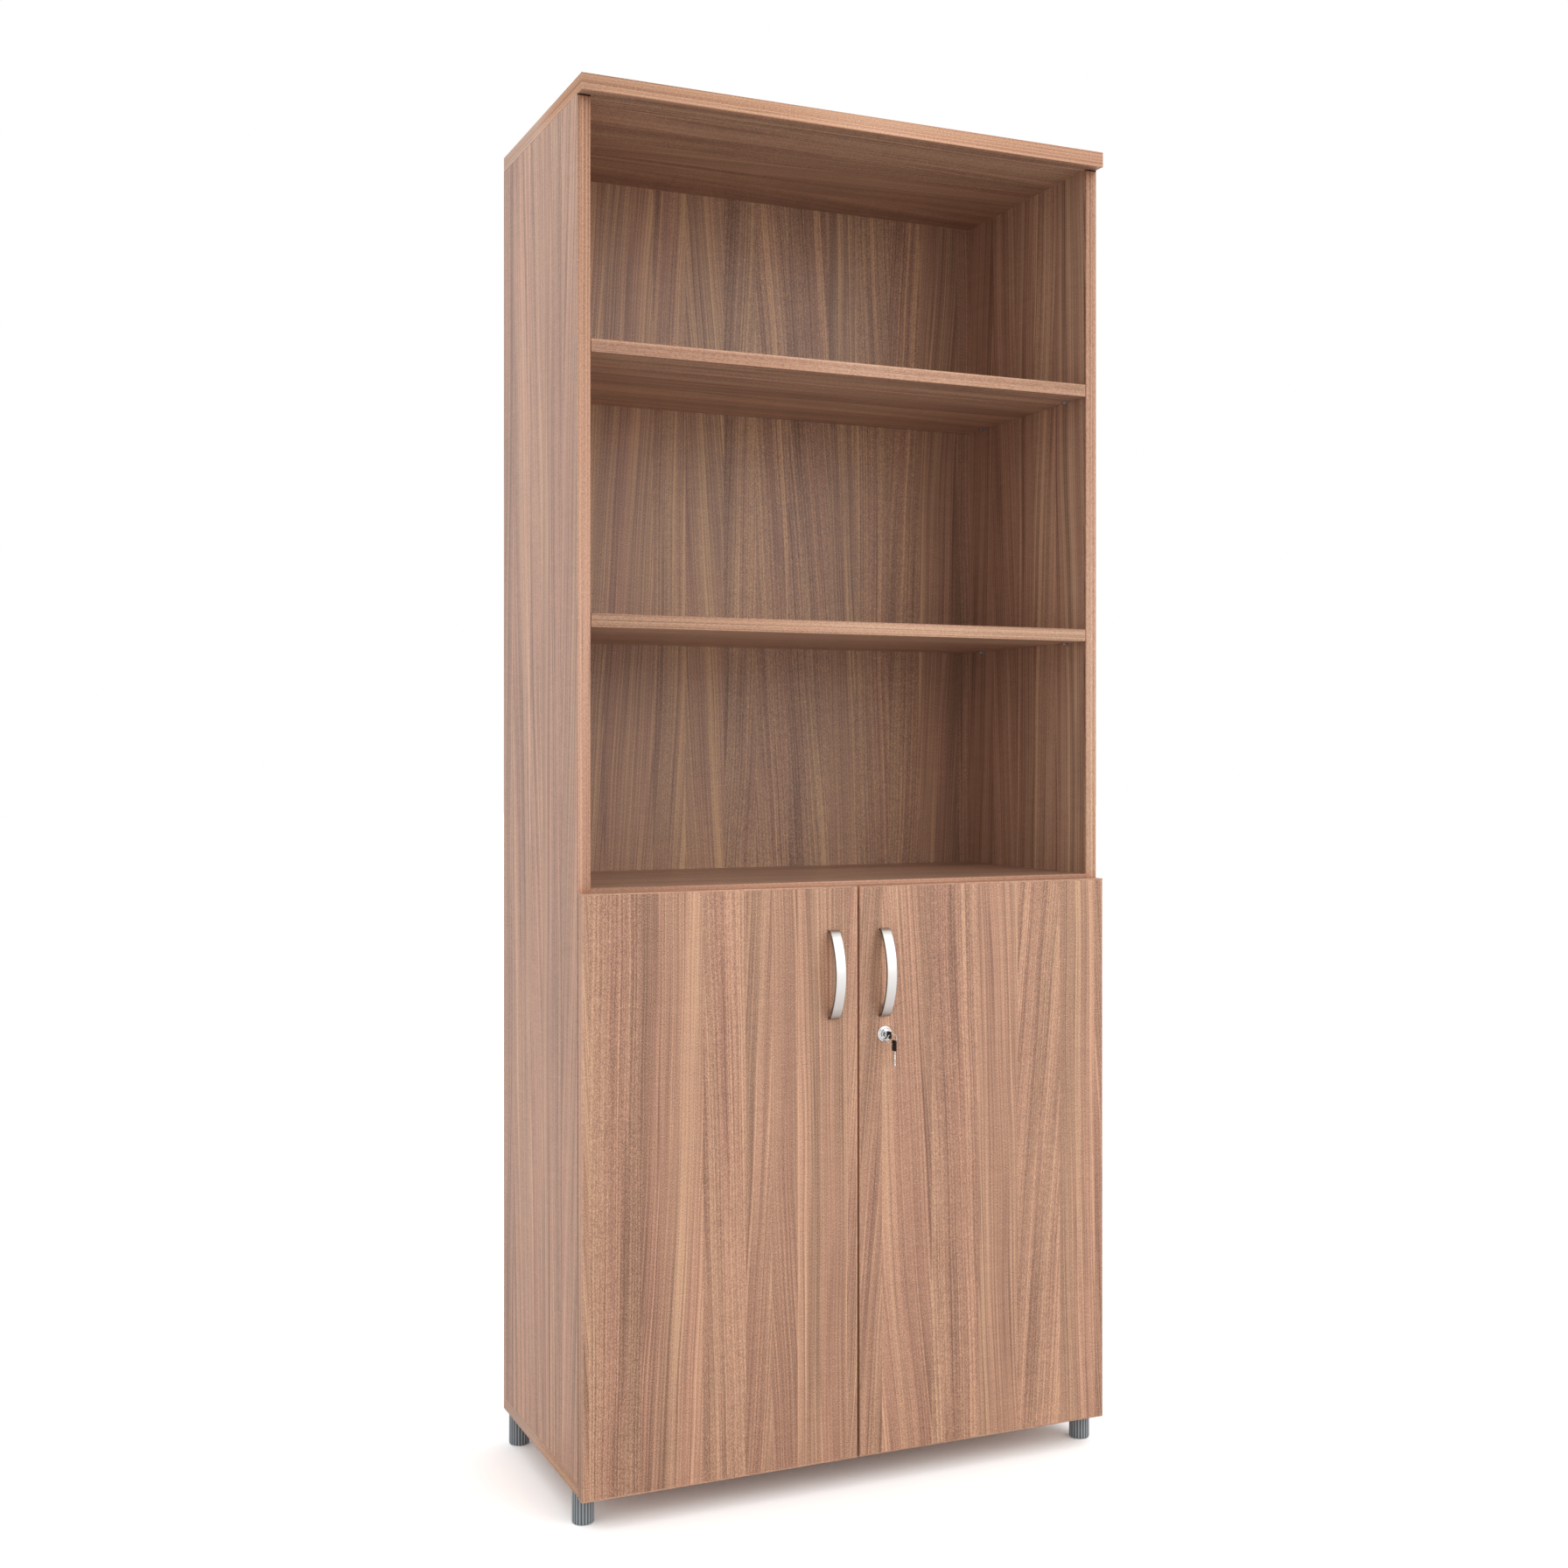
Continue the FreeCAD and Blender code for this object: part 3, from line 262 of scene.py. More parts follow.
# The edging is the same print on a plastic strip: a little lighter, with straight lines along it
edgeLook = dict(walnut, leaf=400, leafTone=0.0, leafSlope=0.0, lean=0.0, pinWeight=0.0,
                bends={"drift": ((60, 900), 2), "waver": ((20, 300), 0.5)},
                layers={"band": ((16, 2400), 1.0, 0.1, None), "stripe": ((4.2, 1800), 1.5, 0.7, None),
                        "line": ((1.8, 1400), 2.0, 1.3, None), "fleck": ((1.2, 3.0), 0.0, 0.55, None),
                        "streak": ((2.2, 210), 1.0, 0.0, None), "hue": ((36, 1100), 1.0, 0.0, None)},
                stops=(0.0, 0.25, 0.5, 0.75, 1.0),
                shades=("#8A6450", "#B18168", "#CD9C80", "#E0B295", "#F2CBAE"))
# the top board's edging has paler shades than the other strips
topEdgeLook = dict(edgeLook, shades=("#936952", "#BC876B", "#D9A483", "#EDBB99", "#FFD5B3"))
edges = {
    "top_edging": ("Z", "XY", 41.7), "bottom_edging": ("Z", "XY", 22.7), "side_edging": ("X", "Z", 34.6),
    "shelf_edging": ("Z", "X", 25.9), "left_door_edging": ("Y", "XZ", 27.3),
    "right_door_edging": ("Y", "XZ", 28.8),
}
paintedGapShadeWidth = 2.2   # painted shade of the gap between the side strips and the top board, in millimetres
paintedGapShadeLine = ("Z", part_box("side_edging")[1].z - paintedGapShadeWidth * mm)
for name, (across, along, seed) in edges.items():
    look = topEdgeLook if name == "top_edging" else edgeLook
    # the top ends of the side strips get the painted shade of the gap
    joint = paintedGapShadeLine if name == "side_edging" else None
    dress(walnutBoard("walnutEdging." + name, across, along, seed, look, joint, "joint"), name)
print("boards and edging printed")

# Metals and plastics: a base colour that varies a little, with grain in the gloss
grainLook = {"detail": 3.0, "colourStops": (0.3, 0.7)}


# Object coordinates, and a grain with its sizes in millimetres along X, Y and Z
def grained(tree, sizes):
    place = addNode(tree, "ShaderNodeTexCoord").outputs["Object"]
    sized = addNode(tree, "ShaderNodeMapping", {"Vector": place, "Scale": [1 / (s * mm) for s in sizes]})
    return place, addNode(tree, "ShaderNodeTexNoise", {
        "Vector": sized, "Scale": 1.0, "Detail": grainLook["detail"]})


def plainFinish(name, colours, roughness, grain, bump=None, **others):
    material, tree = newMaterial(name)
    noise = grained(tree, grain)[1]
    colour = fillRamp(addNode(tree, "ShaderNodeValToRGB", {"Fac": noise}),
                      zip(grainLook["colourStops"], colours))
    surfaced(tree, colour, noise, roughness, bump, **others)
    return material


# satin anodised aluminium of the handles: nearly white with a brushed grain along the bow, with painted shade
# that greys it where the band bends in to the door and darkens its side edges
satin = {"along": ((0.0, "#A59A93"), (0.03, "#AFA49D"), (0.07, "#C6BEB9"), (0.14, "#DAD3D0"),
                   (0.36, "#E6E3E0"), (0.8, "#E9E7E4"), (0.92, "#DFDBD7"), (0.96, "#CBC5C0"),
                   (1.0, "#AFA39A")),
         "paintedEdgeShade": "#7F766F", "edgeRound": 1.1, "edgeRim": 0.2, "grain": (0.5, 0.5, 12.0),
         "roughness": (0.34, 0.44), "bump": (0.3, 0.01)}
handleLow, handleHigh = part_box("right_handle")
halfWidth = (handleHigh.x - handleLow.x) / 2
satinAluminium, tree = newMaterial("satinAnodisedAluminium")
place, brushing = grained(tree, satin["grain"])
axes = addNode(tree, "ShaderNodeSeparateXYZ", {0: place}).outputs
# painted shade: the colour greys towards both ends of the bow
along = addNode(tree, "ShaderNodeMapRange", {
    "Value": axes["Z"], "From Min": handleLow.z, "From Max": handleHigh.z})
colour = fillRamp(addNode(tree, "ShaderNodeValToRGB", {"Fac": along}), satin["along"])
# the handles mirror each other
aside = addNode(tree, "ShaderNodeMath", {0: axes["X"]}, operation="ABSOLUTE")
offMiddle = addNode(tree, "ShaderNodeMath", {0: aside, 1: (handleLow.x + handleHigh.x) / 2},
                    operation="SUBTRACT")
toEdge = addNode(tree, "ShaderNodeMath", {0: offMiddle}, operation="ABSOLUTE")
# painted shade on the side edges of the band
edgeShadeShare = addNode(tree, "ShaderNodeMapRange", {
    "Value": toEdge, "From Min": halfWidth - satin["edgeRound"] * mm,
    "From Max": halfWidth - satin["edgeRim"] * mm})
colour = addNode(tree, "ShaderNodeMix", {0: edgeShadeShare, 6: colour, 7: linear(satin["paintedEdgeShade"])},
                 data_type="RGBA").outputs[2]
surfaced(tree, colour, brushing, satin["roughness"], satin["bump"], Metallic=1.0)
# moulded grey plastic of the feet: dull, with painted highlights on the ridges and painted shade in the
# grooves
footPlastic = {"groove": "#52585C", "ridge": "#B2B8BC", "roughness": 0.5, "ior": 1.46}
ribbedGrey, tree = newMaterial("ribbedGreyPlastic")
rib = addNode(tree, "ShaderNodeAttribute", attribute_name="rib").outputs["Fac"]
colour = fillRamp(addNode(tree, "ShaderNodeValToRGB", {"Fac": rib}),
                  ((0.0, footPlastic["groove"]), (1.0, footPlastic["ridge"])))
shader = addNode(tree, "ShaderNodeBsdfPrincipled", {
    "Base Color": colour, "Roughness": footPlastic["roughness"], "IOR": footPlastic["ior"]})
addNode(tree, "ShaderNodeOutputMaterial", {"Surface": shader})
# bright chrome plating: sharp reflections, a faint haze
brightChrome = plainFinish("brightChromePlating", ("#E6E6E7", "#F3F3F4"), (0.06, 0.14), (4, 4, 4),
                           Metallic=1.0)
# zinc plating: bluish grey, slightly mottled and dull
zincSteel = plainFinish("zincPlatedSteel", ("#AEB3B9", "#CBCFD3"), (0.3, 0.46), (3, 3, 3), (0.3, 0.01),
                        Metallic=1.0)
# nickel plating: warmer and brighter than zinc
nickelSteel = plainFinish("nickelPlatedSteel", ("#CFCAC2", "#E4E0D9"), (0.14, 0.26), (5, 5, 5), Metallic=1.0)
# moulded black plastic of the key bows: fine spark texture, low gloss
blackPlastic = plainFinish("mouldedBlackPlastic", ("#0B0A0A", "#151313"), (0.5, 0.64), (0.6, 0.6, 0.6),
                           (0.3, 0.02), IOR=1.36)
# soft clear bumpers: milky, glossy
clearRubber = plainFinish("clearSoftRubber", ("#D9D5CB", "#E8E5DC"), (0.2, 0.3), (2, 2, 2),
                          **{"Transmission Weight": 0.5, "IOR": 1.45})
# beech of the dowels: pale straw with short flecks along the length
beech = plainFinish("turnedBeech", ("#C79A6B", "#DDB88A"), (0.5, 0.65), (1.2, 1.2, 8.0), (0.3, 0.03), IOR=1.5)
finishes = {"satin_aluminium": satinAluminium, "bright_chrome": brightChrome, "zinc_steel": zincSteel,
            "nickel_steel": nickelSteel, "black_plastic": blackPlastic, "grey_plastic": ribbedGrey,
            "clear_rubber": clearRubber, "beech": beech}
for node, slot in slotOf.items():
    if slot in finishes:
        dress(finishes[slot], node)
print("fittings finished")

# How meshes are cleaned: how near doubles lie in millimetres, and degrees at an edge
cleaning = {"madeGap": 0.002, "solidGap": 0.001, "smoothAngle": 35, "bevelAngle": 40, "flatAngle": 0.5}


# a mesh with its doubles merged, its faces outward and its round parts smooth
def tidyMesh(name, shape, smoothAngle=cleaning["smoothAngle"]):
    bmesh.ops.remove_doubles(shape, verts=shape.verts, dist=cleaning["madeGap"] * mm)
    bmesh.ops.recalc_face_normals(shape, faces=shape.faces)
    mesh = bpy.data.meshes.new(name)
    shape.to_mesh(mesh)
    shape.free()
    mesh.set_sharp_from_angle(angle=math.radians(smoothAngle))
    return mesh


# the plain mesh that a mesh becomes under its modifiers
def applied(mesh, modifiers):
    holder = bpy.data.objects.new(mesh.name, mesh)
    bpy.context.collection.objects.link(holder)
    for kind, settings in modifiers:
        modifier = holder.modifiers.new(kind, kind)
        for key, value in settings.items():
            setattr(modifier, key, value)
    graph = bpy.context.evaluated_depsgraph_get()
    result = bpy.data.meshes.new_from_object(holder.evaluated_get(graph))
    bpy.data.objects.remove(holder)
    result.set_sharp_from_angle(angle=math.radians(cleaning["smoothAngle"]))
    return result


def bevelled(mesh, width):
    return applied(mesh, [("BEVEL", {"width": width * mm, "segments": 2, "limit_method": "ANGLE",
                                     "angle_limit": math.radians(cleaning["bevelAngle"])})])


def carved(mesh, cutters):
    tools = [bpy.data.objects.new("cutter", cutter) for cutter in cutters]
    for tool in tools:
        bpy.context.collection.objects.link(tool)
    result = applied(mesh, [("BOOLEAN", {"object": tool, "operation": "DIFFERENCE", "solver": "EXACT"})
                            for tool in tools])
    for tool in tools:
        bpy.data.objects.remove(tool)
    return result


# a finished piece: its place is in its mesh, and it stands for CAD nodes of one body
def keepPiece(name, mesh, *replaced):
    mesh.name = name
    mesh.materials.clear()
    mesh.materials.append(nodes[replaced[0]].data.materials[0])
    piece = bpy.data.objects.new(name, mesh)
    bpy.context.collection.objects.link(piece)
    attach(piece, bodyOf[replaced[0]])
    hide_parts(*replaced)


def quarterTurn(steps):
    return [math.pi / 2 * i / steps for i in range(steps + 1)]


def rectangle(left, low, right, high):
    return [(left, low), (right, low), (right, high), (left, high)]


# the outline of a dome, from its rim up to its pole
def domed(radius, rim, height, steps):
    arc = [(radius * math.cos(a), rim + (height - rim) * math.sin(a)) for a in quarterTurn(steps)]
    return arc[:-1] + [(0.0, height)]


# a turned shape: outline is (radius, height) pairs in millimetres, spun about Z; a closed one is a ring
def turned(outline, steps, closed=False):
    shape = bmesh.new()
    angles = [2 * math.pi * i / steps for i in range(steps)]
    rings = []
    for radius, height in outline:
        spots = angles if radius > 0 else angles[:1]
        rings.append([shape.verts.new((radius * math.cos(a) * mm, radius * math.sin(a) * mm, height * mm))
                      for a in spots])
    for low, high in zip(rings, rings[1:] + rings[:1] if closed else rings[1:]):
        for i in range(steps):
            j = (i + 1) % steps
            corners = [low[i % len(low)], low[j % len(low)], high[j % len(high)], high[i % len(high)]]
            shape.faces.new(list(dict.fromkeys(corners)))
    return shape


# a flat plate: its outline in millimetres in the X-Y plane, its thickness about the height of its middle
def plate(outline, thickness, middle=0.0):
    shape = bmesh.new()
    lower, upper = [[shape.verts.new((x * mm, y * mm, z * mm)) for x, y in outline]
                    for z in (middle - thickness / 2, middle + thickness / 2)]
    shape.faces.new(lower)
    shape.faces.new(upper)
    for i in range(len(outline)):
        j = (i + 1) % len(outline)
        shape.faces.new((lower[i], lower[j], upper[j], upper[i]))
    return shape


# a frame with its Z axis along a direction, at a place
def facing(place, direction):
    return Matrix.Translation(place) @ Vector(direction).to_track_quat("Z", "Y").to_matrix().to_4x4()


# a copy of a CAD node's loose triangles with its doubles merged
def bare(node):
    shape = bmesh.new()
    shape.from_mesh(nodes[node].data)
    bmesh.ops.remove_doubles(shape, verts=shape.verts, dist=cleaning["solidGap"] * mm)
    return shape


# the boxes of the separate solids in a CAD node, from low to high
def solidsOf(node):
    shape = bare(node)
    left = set(shape.verts)
    boxes = []
    while left:
        island, front = [], [left.pop()]
        while front:
            vert = front.pop()
            island.append(vert.co.copy())
            fresh = [edge.other_vert(vert) for edge in vert.link_edges if edge.other_vert(vert) in left]
            left.difference_update(fresh)
            front.extend(dict.fromkeys(fresh))
        boxes.append((Vector(map(min, zip(*island))), Vector(map(max, zip(*island)))))
    shape.free()
    return sorted(boxes, key=lambda ends: tuple(round(c, 5) for c in ends[0]))


# Geometry Nodes: a tree that takes a start, a material and named sizes, its close, and the plain mesh that
# grows from it with the material of a CAD node
def newTree(name, sizes):
    tree = bpy.data.node_groups.new(name, "GeometryNodeTree")
    for kind, labels in {"Geometry": ["Geometry"], "Material": ["Material"], **sizes}.items():
        for label in labels:
            tree.interface.new_socket(label, in_out="INPUT", socket_type="NodeSocket" + kind)
    tree.interface.new_socket("Geometry", in_out="OUTPUT", socket_type="NodeSocketGeometry")
    return tree, addNode(tree, "NodeGroupInput").outputs


def closeTree(tree, size, geometry):
    whole = addNode(tree, "GeometryNodeRealizeInstances", {"Geometry": geometry})
    dressed = addNode(tree, "GeometryNodeSetMaterial", {"Geometry": whole, "Material": size["Material"]})
    addNode(tree, "NodeGroupOutput", {0: dressed})


def grow(name, node, tree, values, start=None, smoothAngle=cleaning["smoothAngle"]):
    holder = bpy.data.objects.new(name, start or bpy.data.meshes.new(name))
    bpy.context.collection.objects.link(holder)
    modifier = holder.modifiers.new(name, "NODES")
    modifier.node_group = tree
    values["Material"] = nodes[node].data.materials[0]
    for socket in tree.interface.items_tree:
        if socket.in_out == "INPUT" and socket.name in values:
            modifier[socket.identifier] = values[socket.name]
    graph = bpy.context.evaluated_depsgraph_get()
    mesh = bpy.data.meshes.new_from_object(holder.evaluated_get(graph))
    holder.modifiers.remove(modifier)
    bpy.data.objects.remove(holder)
    shape = bmesh.new()
    shape.from_mesh(mesh)
    return tidyMesh(name, shape, smoothAngle)


# Bow handles: a flat band with rounded edges swept along its bent path, on two screw bosses that end inside
# the band. The tree works in its X-Y plane: X is the distance from the door, Y runs up.
bowHandle = {"band": 3.5, "bendRadius": 10.0, "leg": 1.4, "edgeRound": 1.1, "bossRadius": 4.5,
             "bossInBand": 0.35, "holeSpacing": 96.0, "bowSteps": 60, "bendSteps": 16, "edgeSteps": 4,
             "bossSteps": 32}
handleTree, size = newTree("bowHandleSweep", {
    "Float": ("Band Width", "Band", "Edge Round", "Boss Radius", "Boss Height"),
    "Vector": ("Boss Start", "Boss Step")})
path = addNode(handleTree, "GeometryNodeMeshToCurve", {"Mesh": size["Geometry"]})
upright = addNode(handleTree, "GeometryNodeSetCurveNormal", {"Curve": path}, mode="Z_UP")
section = addNode(handleTree, "GeometryNodeCurvePrimitiveQuadrilateral", {
    "Width": size["Band"], "Height": size["Band Width"]})
rounded = addNode(handleTree, "GeometryNodeFilletCurve", {
    "Curve": section, "Radius": size["Edge Round"], "Count": bowHandle["edgeSteps"], "Limit Radius": True},
    mode="POLY")
swept = addNode(handleTree, "GeometryNodeCurveToMesh", {
    "Curve": upright, "Profile Curve": rounded, "Fill Caps": True})
boss = addNode(handleTree, "GeometryNodeMeshCylinder", {
    "Vertices": bowHandle["bossSteps"], "Radius": size["Boss Radius"], "Depth": size["Boss Height"]})
bossLine = addNode(handleTree, "GeometryNodeMeshLine", {
    "Count": 2, "Start Location": size["Boss Start"], "Offset": size["Boss Step"]})
bosses = addNode(handleTree, "GeometryNodeInstanceOnPoints", {
    "Points": bossLine, "Instance": boss, "Rotation": (0.0, math.pi / 2, 0.0)})
handleParts = addNode(handleTree, "GeometryNodeJoinGeometry", {0: swept})
handleTree.links.new(bosses.outputs[0], handleParts.inputs[0])
closeTree(handleTree, size, handleParts)


# the middle line of the band, which is a leg, a bend, the wide bow, a bend and a leg, and the bosses' height
def handlePath(length, projection):
    bend, leg, band = bowHandle["bendRadius"] * mm, bowHandle["leg"] * mm, bowHandle["band"] * mm
    bendHeight = length / 2 - bend
    rise = projection - leg
    bow = (rise ** 2 + bendHeight ** 2 - bend ** 2) / (2 * (rise - bend))
    turn = math.asin(bendHeight / (bow - bend))
    wide, tight = bow - band / 2, bend - band / 2
    upper = []
    for i in range(bowHandle["bowSteps"] + 1):
        angle = turn * i / bowHandle["bowSteps"]
        upper.append((projection - bow + wide * math.cos(angle), wide * math.sin(angle)))
    for i in range(1, bowHandle["bendSteps"] + 1):
        angle = turn + (math.pi / 2 - turn) * i / bowHandle["bendSteps"]
        upper.append((leg + tight * math.cos(angle), bendHeight + tight * math.sin(angle)))
    upper.append((0.0, bendHeight + bend - band / 2))
    points = [(x, -y, 0.0) for x, y in reversed(upper[1:])] + [(x, y, 0.0) for x, y in upper]
    line = bpy.data.meshes.new("handlePath")
    line.from_pydata(points, [(i, i + 1) for i in range(len(points) - 1)], [])
    underBand = projection - bow + math.sqrt((bow - band) ** 2 - (bowHandle["holeSpacing"] / 2 * mm) ** 2)
    return line, underBand + bowHandle["bossInBand"] * band


for side in ("left", "right"):
    name, node = "bowHandle." + side, side + "_handle"
    low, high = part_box(node)
    line, bossHeight = handlePath(high.z - low.z, high.y - low.y)
    mesh = grow(name, node, handleTree, {
        "Band Width": high.x - low.x, "Band": bowHandle["band"] * mm,
        "Edge Round": bowHandle["edgeRound"] * mm, "Boss Radius": bowHandle["bossRadius"] * mm,
        "Boss Height": bossHeight, "Boss Start": (bossHeight / 2, -bowHandle["holeSpacing"] / 2 * mm, 0.0),
        "Boss Step": (0.0, bowHandle["holeSpacing"] * mm, 0.0)}, line)
    # the tree's X points out of the door, its Y up
    mesh.transform(Matrix(((0, 0, -1, (low.x + high.x) / 2), (-1, 0, 0, high.y),
                           (0, 1, 0, (low.z + high.z) / 2), (0, 0, 0, 1))))
    keepPiece(name, mesh, node)
print("bow handles swept")

# Screw feet: a ribbed column, drawn in at the floor, with a threaded stem above it
ribbedFoot = {"ribs": 20, "ribDepth": 1.3, "ribRound": 0.45, "ribSteps": 3, "footRound": 2.2, "roundSteps": 6,
              "columnHeight": 43.0, "stemCore": 3.5, "stemSteps": 32, "threadPitch": 1.5, "threadCrest": 0.45,
              "threadSteps": 20, "smoothAngle": 50}
footTree, size = newTree("ribbedFootColumn", {
    "Int": ("Ribs",), "Vector": ("Stem Middle", "Thread Start"),
    "Float": ("Crest Radius", "Root Radius", "Rib Round", "Stem Radius", "Stem Length", "Thread Turns",
              "Thread Crest")})
upward = addNode(footTree, "GeometryNodeMeshToCurve", {"Mesh": size["Geometry"]})
share = addNode(footTree, "GeometryNodeInputNamedAttribute", {"Name": "share"}, data_type="FLOAT")
star = addNode(footTree, "GeometryNodeCurveStar", {
    "Points": size["Ribs"], "Inner Radius": size["Root Radius"], "Outer Radius": size["Crest Radius"]})
# the outer points of the star are marked for the painted highlights on the ridges of the feet
ridges = addNode(footTree, "GeometryNodeStoreNamedAttribute", {
    "Geometry": star, "Name": "rib", "Value": star.outputs["Outer Points"]},
    data_type="FLOAT", domain="POINT")
ribs = addNode(footTree, "GeometryNodeFilletCurve", {
    "Curve": ridges, "Radius": size["Rib Round"], "Count": ribbedFoot["ribSteps"], "Limit Radius": True},
    mode="POLY")
column = addNode(footTree, "GeometryNodeCurveToMesh", {
    "Curve": upward, "Profile Curve": ribs, "Scale": share, "Fill Caps": True})
stem = addNode(footTree, "GeometryNodeMeshCylinder", {
    "Vertices": ribbedFoot["stemSteps"], "Radius": size["Stem Radius"], "Depth": size["Stem Length"]})
stemUp = addNode(footTree, "GeometryNodeTransform", {"Geometry": stem, "Translation": size["Stem Middle"]})
helix = addNode(footTree, "GeometryNodeCurveSpiral", {
    "Resolution": ribbedFoot["threadSteps"], "Rotations": size["Thread Turns"],
    "Start Radius": size["Stem Radius"], "End Radius": size["Stem Radius"], "Height": size["Stem Length"]})
crest = addNode(footTree, "GeometryNodeCurvePrimitiveCircle", {
    "Resolution": 4, "Radius": size["Thread Crest"]})   # four corners make a thread with a sharp crest
thread = addNode(footTree, "GeometryNodeCurveToMesh", {
    "Curve": helix, "Profile Curve": crest, "Fill Caps": True})
threadUp = addNode(footTree, "GeometryNodeTransform", {
    "Geometry": thread, "Translation": size["Thread Start"]})
footParts = addNode(footTree, "GeometryNodeJoinGeometry", {0: column})
for source in (stemUp, threadUp):
    footTree.links.new(source.outputs[0], footParts.inputs[0])
closeTree(footTree, size, footParts)

for node in ("front_left_foot", "front_right_foot", "back_left_foot", "back_right_foot"):
    low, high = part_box(node)
    radius, drawIn, top = (high.x - low.x) / 2, ribbedFoot["footRound"] * mm, ribbedFoot["columnHeight"] * mm
    crestRoom = ribbedFoot["threadCrest"] * mm
    stemLength = high.z - low.z - top - crestRoom
    # the middle line of the column, with the share of the full radius at each point
    rounding = quarterTurn(ribbedFoot["roundSteps"])
    heights = [drawIn * (1 - math.cos(a)) for a in rounding] + [top]
    line = bpy.data.meshes.new("footLine")
    line.from_pydata([(0, 0, z) for z in heights], [(i, i + 1) for i in range(len(heights) - 1)], [])
    shares = [1 - drawIn / radius * (1 - math.sin(a)) for a in rounding] + [1.0]
    line.attributes.new("share", "FLOAT", "POINT").data.foreach_set("value", shares)
    name = "ribbedFoot." + node.removesuffix("_foot")
    mesh = grow(name, node, footTree, {
        "Ribs": ribbedFoot["ribs"], "Crest Radius": radius,
        "Root Radius": radius - ribbedFoot["ribDepth"] * mm,
        "Rib Round": ribbedFoot["ribRound"] * mm, "Stem Radius": ribbedFoot["stemCore"] * mm,
        "Stem Length": stemLength, "Stem Middle": (0.0, 0.0, top + stemLength / 2),
        "Thread Start": (0.0, 0.0, top), "Thread Turns": stemLength / (ribbedFoot["threadPitch"] * mm),
        "Thread Crest": crestRoom}, line, ribbedFoot["smoothAngle"])
    mesh.transform(Matrix.Translation(((low.x + high.x) / 2, (low.y + high.y) / 2, low.z)))
    keepPiece(name, mesh, node)
print("ribbed feet grown")

# Key ring: a split ring of two turns of spring wire, side by side
splitRing = {"wire": 0.5, "wireRoom": 1.2, "wireSteps": 12, "turns": 2.0, "turnSteps": 48}
ringTree, size = newTree("splitRingCoil", {
    "Float": ("Radius", "Turns", "Height", "Wire"), "Int": ("Turn Steps",)})
coil = addNode(ringTree, "GeometryNodeCurveSpiral", {
    "Resolution": size["Turn Steps"], "Rotations": size["Turns"], "Start Radius": size["Radius"],
    "End Radius": size["Radius"], "Height": size["Height"]})
wire = addNode(ringTree, "GeometryNodeCurvePrimitiveCircle", {
    "Resolution": splitRing["wireSteps"], "Radius": size["Wire"]})
wound = addNode(ringTree, "GeometryNodeCurveToMesh", {
    "Curve": coil, "Profile Curve": wire, "Fill Caps": True})
closeTree(ringTree, size, wound)
low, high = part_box("key_ring")
wireRadius = splitRing["wire"] * mm
coilHeight = 2 * wireRadius * splitRing["turns"]
mesh = grow("splitKeyRing", "key_ring", ringTree, {
    "Radius": (high.x - low.x) / 2 - splitRing["wireRoom"] * wireRadius, "Turns": splitRing["turns"],
    "Height": coilHeight, "Wire": wireRadius, "Turn Steps": splitRing["turnSteps"]})
mesh.transform(facing((low + high) / 2 + Vector((0, coilHeight / 2, 0)), (0, -1, 0)))
keepPiece("splitKeyRing", mesh, "key_ring")

# Rows of small fittings: one shape set on points, each facing its own way and turned by chance about that way
rowTree, size = newTree("fittingRow", {"Object": ("Fitting",), "Int": ("Turn Seed",)})
way = addNode(rowTree, "GeometryNodeInputNamedAttribute", {"Name": "facing"}, data_type="FLOAT_VECTOR")
aligned = addNode(rowTree, "FunctionNodeAlignRotationToVector", {"Vector": way}, axis="Z")
turn = addNode(rowTree, "FunctionNodeRandomValue", {2: 0.0, 3: math.pi / 2, "Seed": size["Turn Seed"]},
               data_type="FLOAT")
turnVector = addNode(rowTree, "ShaderNodeCombineXYZ", {"Z": turn.outputs[1]})
turnAbout = addNode(rowTree, "FunctionNodeEulerToRotation", {0: turnVector})
posed = addNode(rowTree, "FunctionNodeRotateRotation", {"Rotation": aligned, "Rotate By": turnAbout},
                rotation_space="LOCAL")
shown = addNode(rowTree, "GeometryNodeObjectInfo", {"Object": size["Fitting"]})
row = addNode(rowTree, "GeometryNodeInstanceOnPoints", {
    "Points": size["Geometry"], "Instance": shown.outputs["Geometry"], "Rotation": posed})
closeTree(rowTree, size, row)


# places is a list of (point, direction), one for each fitting
def fittingRow(name, fitting, places, seed, node):
    points = bpy.data.meshes.new(name)
    points.from_pydata([tuple(point) for point, direction in places], [], [])
    attribute = points.attributes.new("facing", "FLOAT_VECTOR", "POINT")
    attribute.data.foreach_set("vector", [c for point, direction in places for c in direction])
    pattern = bpy.data.objects.new(name + ".one", fitting)
    bpy.context.collection.objects.link(pattern)
    mesh = grow(name, node, rowTree, {"Fitting": pattern, "Turn Seed": seed}, points)
    bpy.data.objects.remove(pattern)
    keepPiece(name, mesh, node)


# Screws: a domed head with a cross recess, and a thread. Rim and recess are shares of the head's height and
# radius, core and tip shares of the shank's radius.
screwLook = {"rim": 0.25, "domeSteps": 8, "core": 0.78, "tip": 1.6, "neck": 0.4, "arm": 0.62, "slot": 0.24,
             "recessDepth": 0.7, "steps": 32}
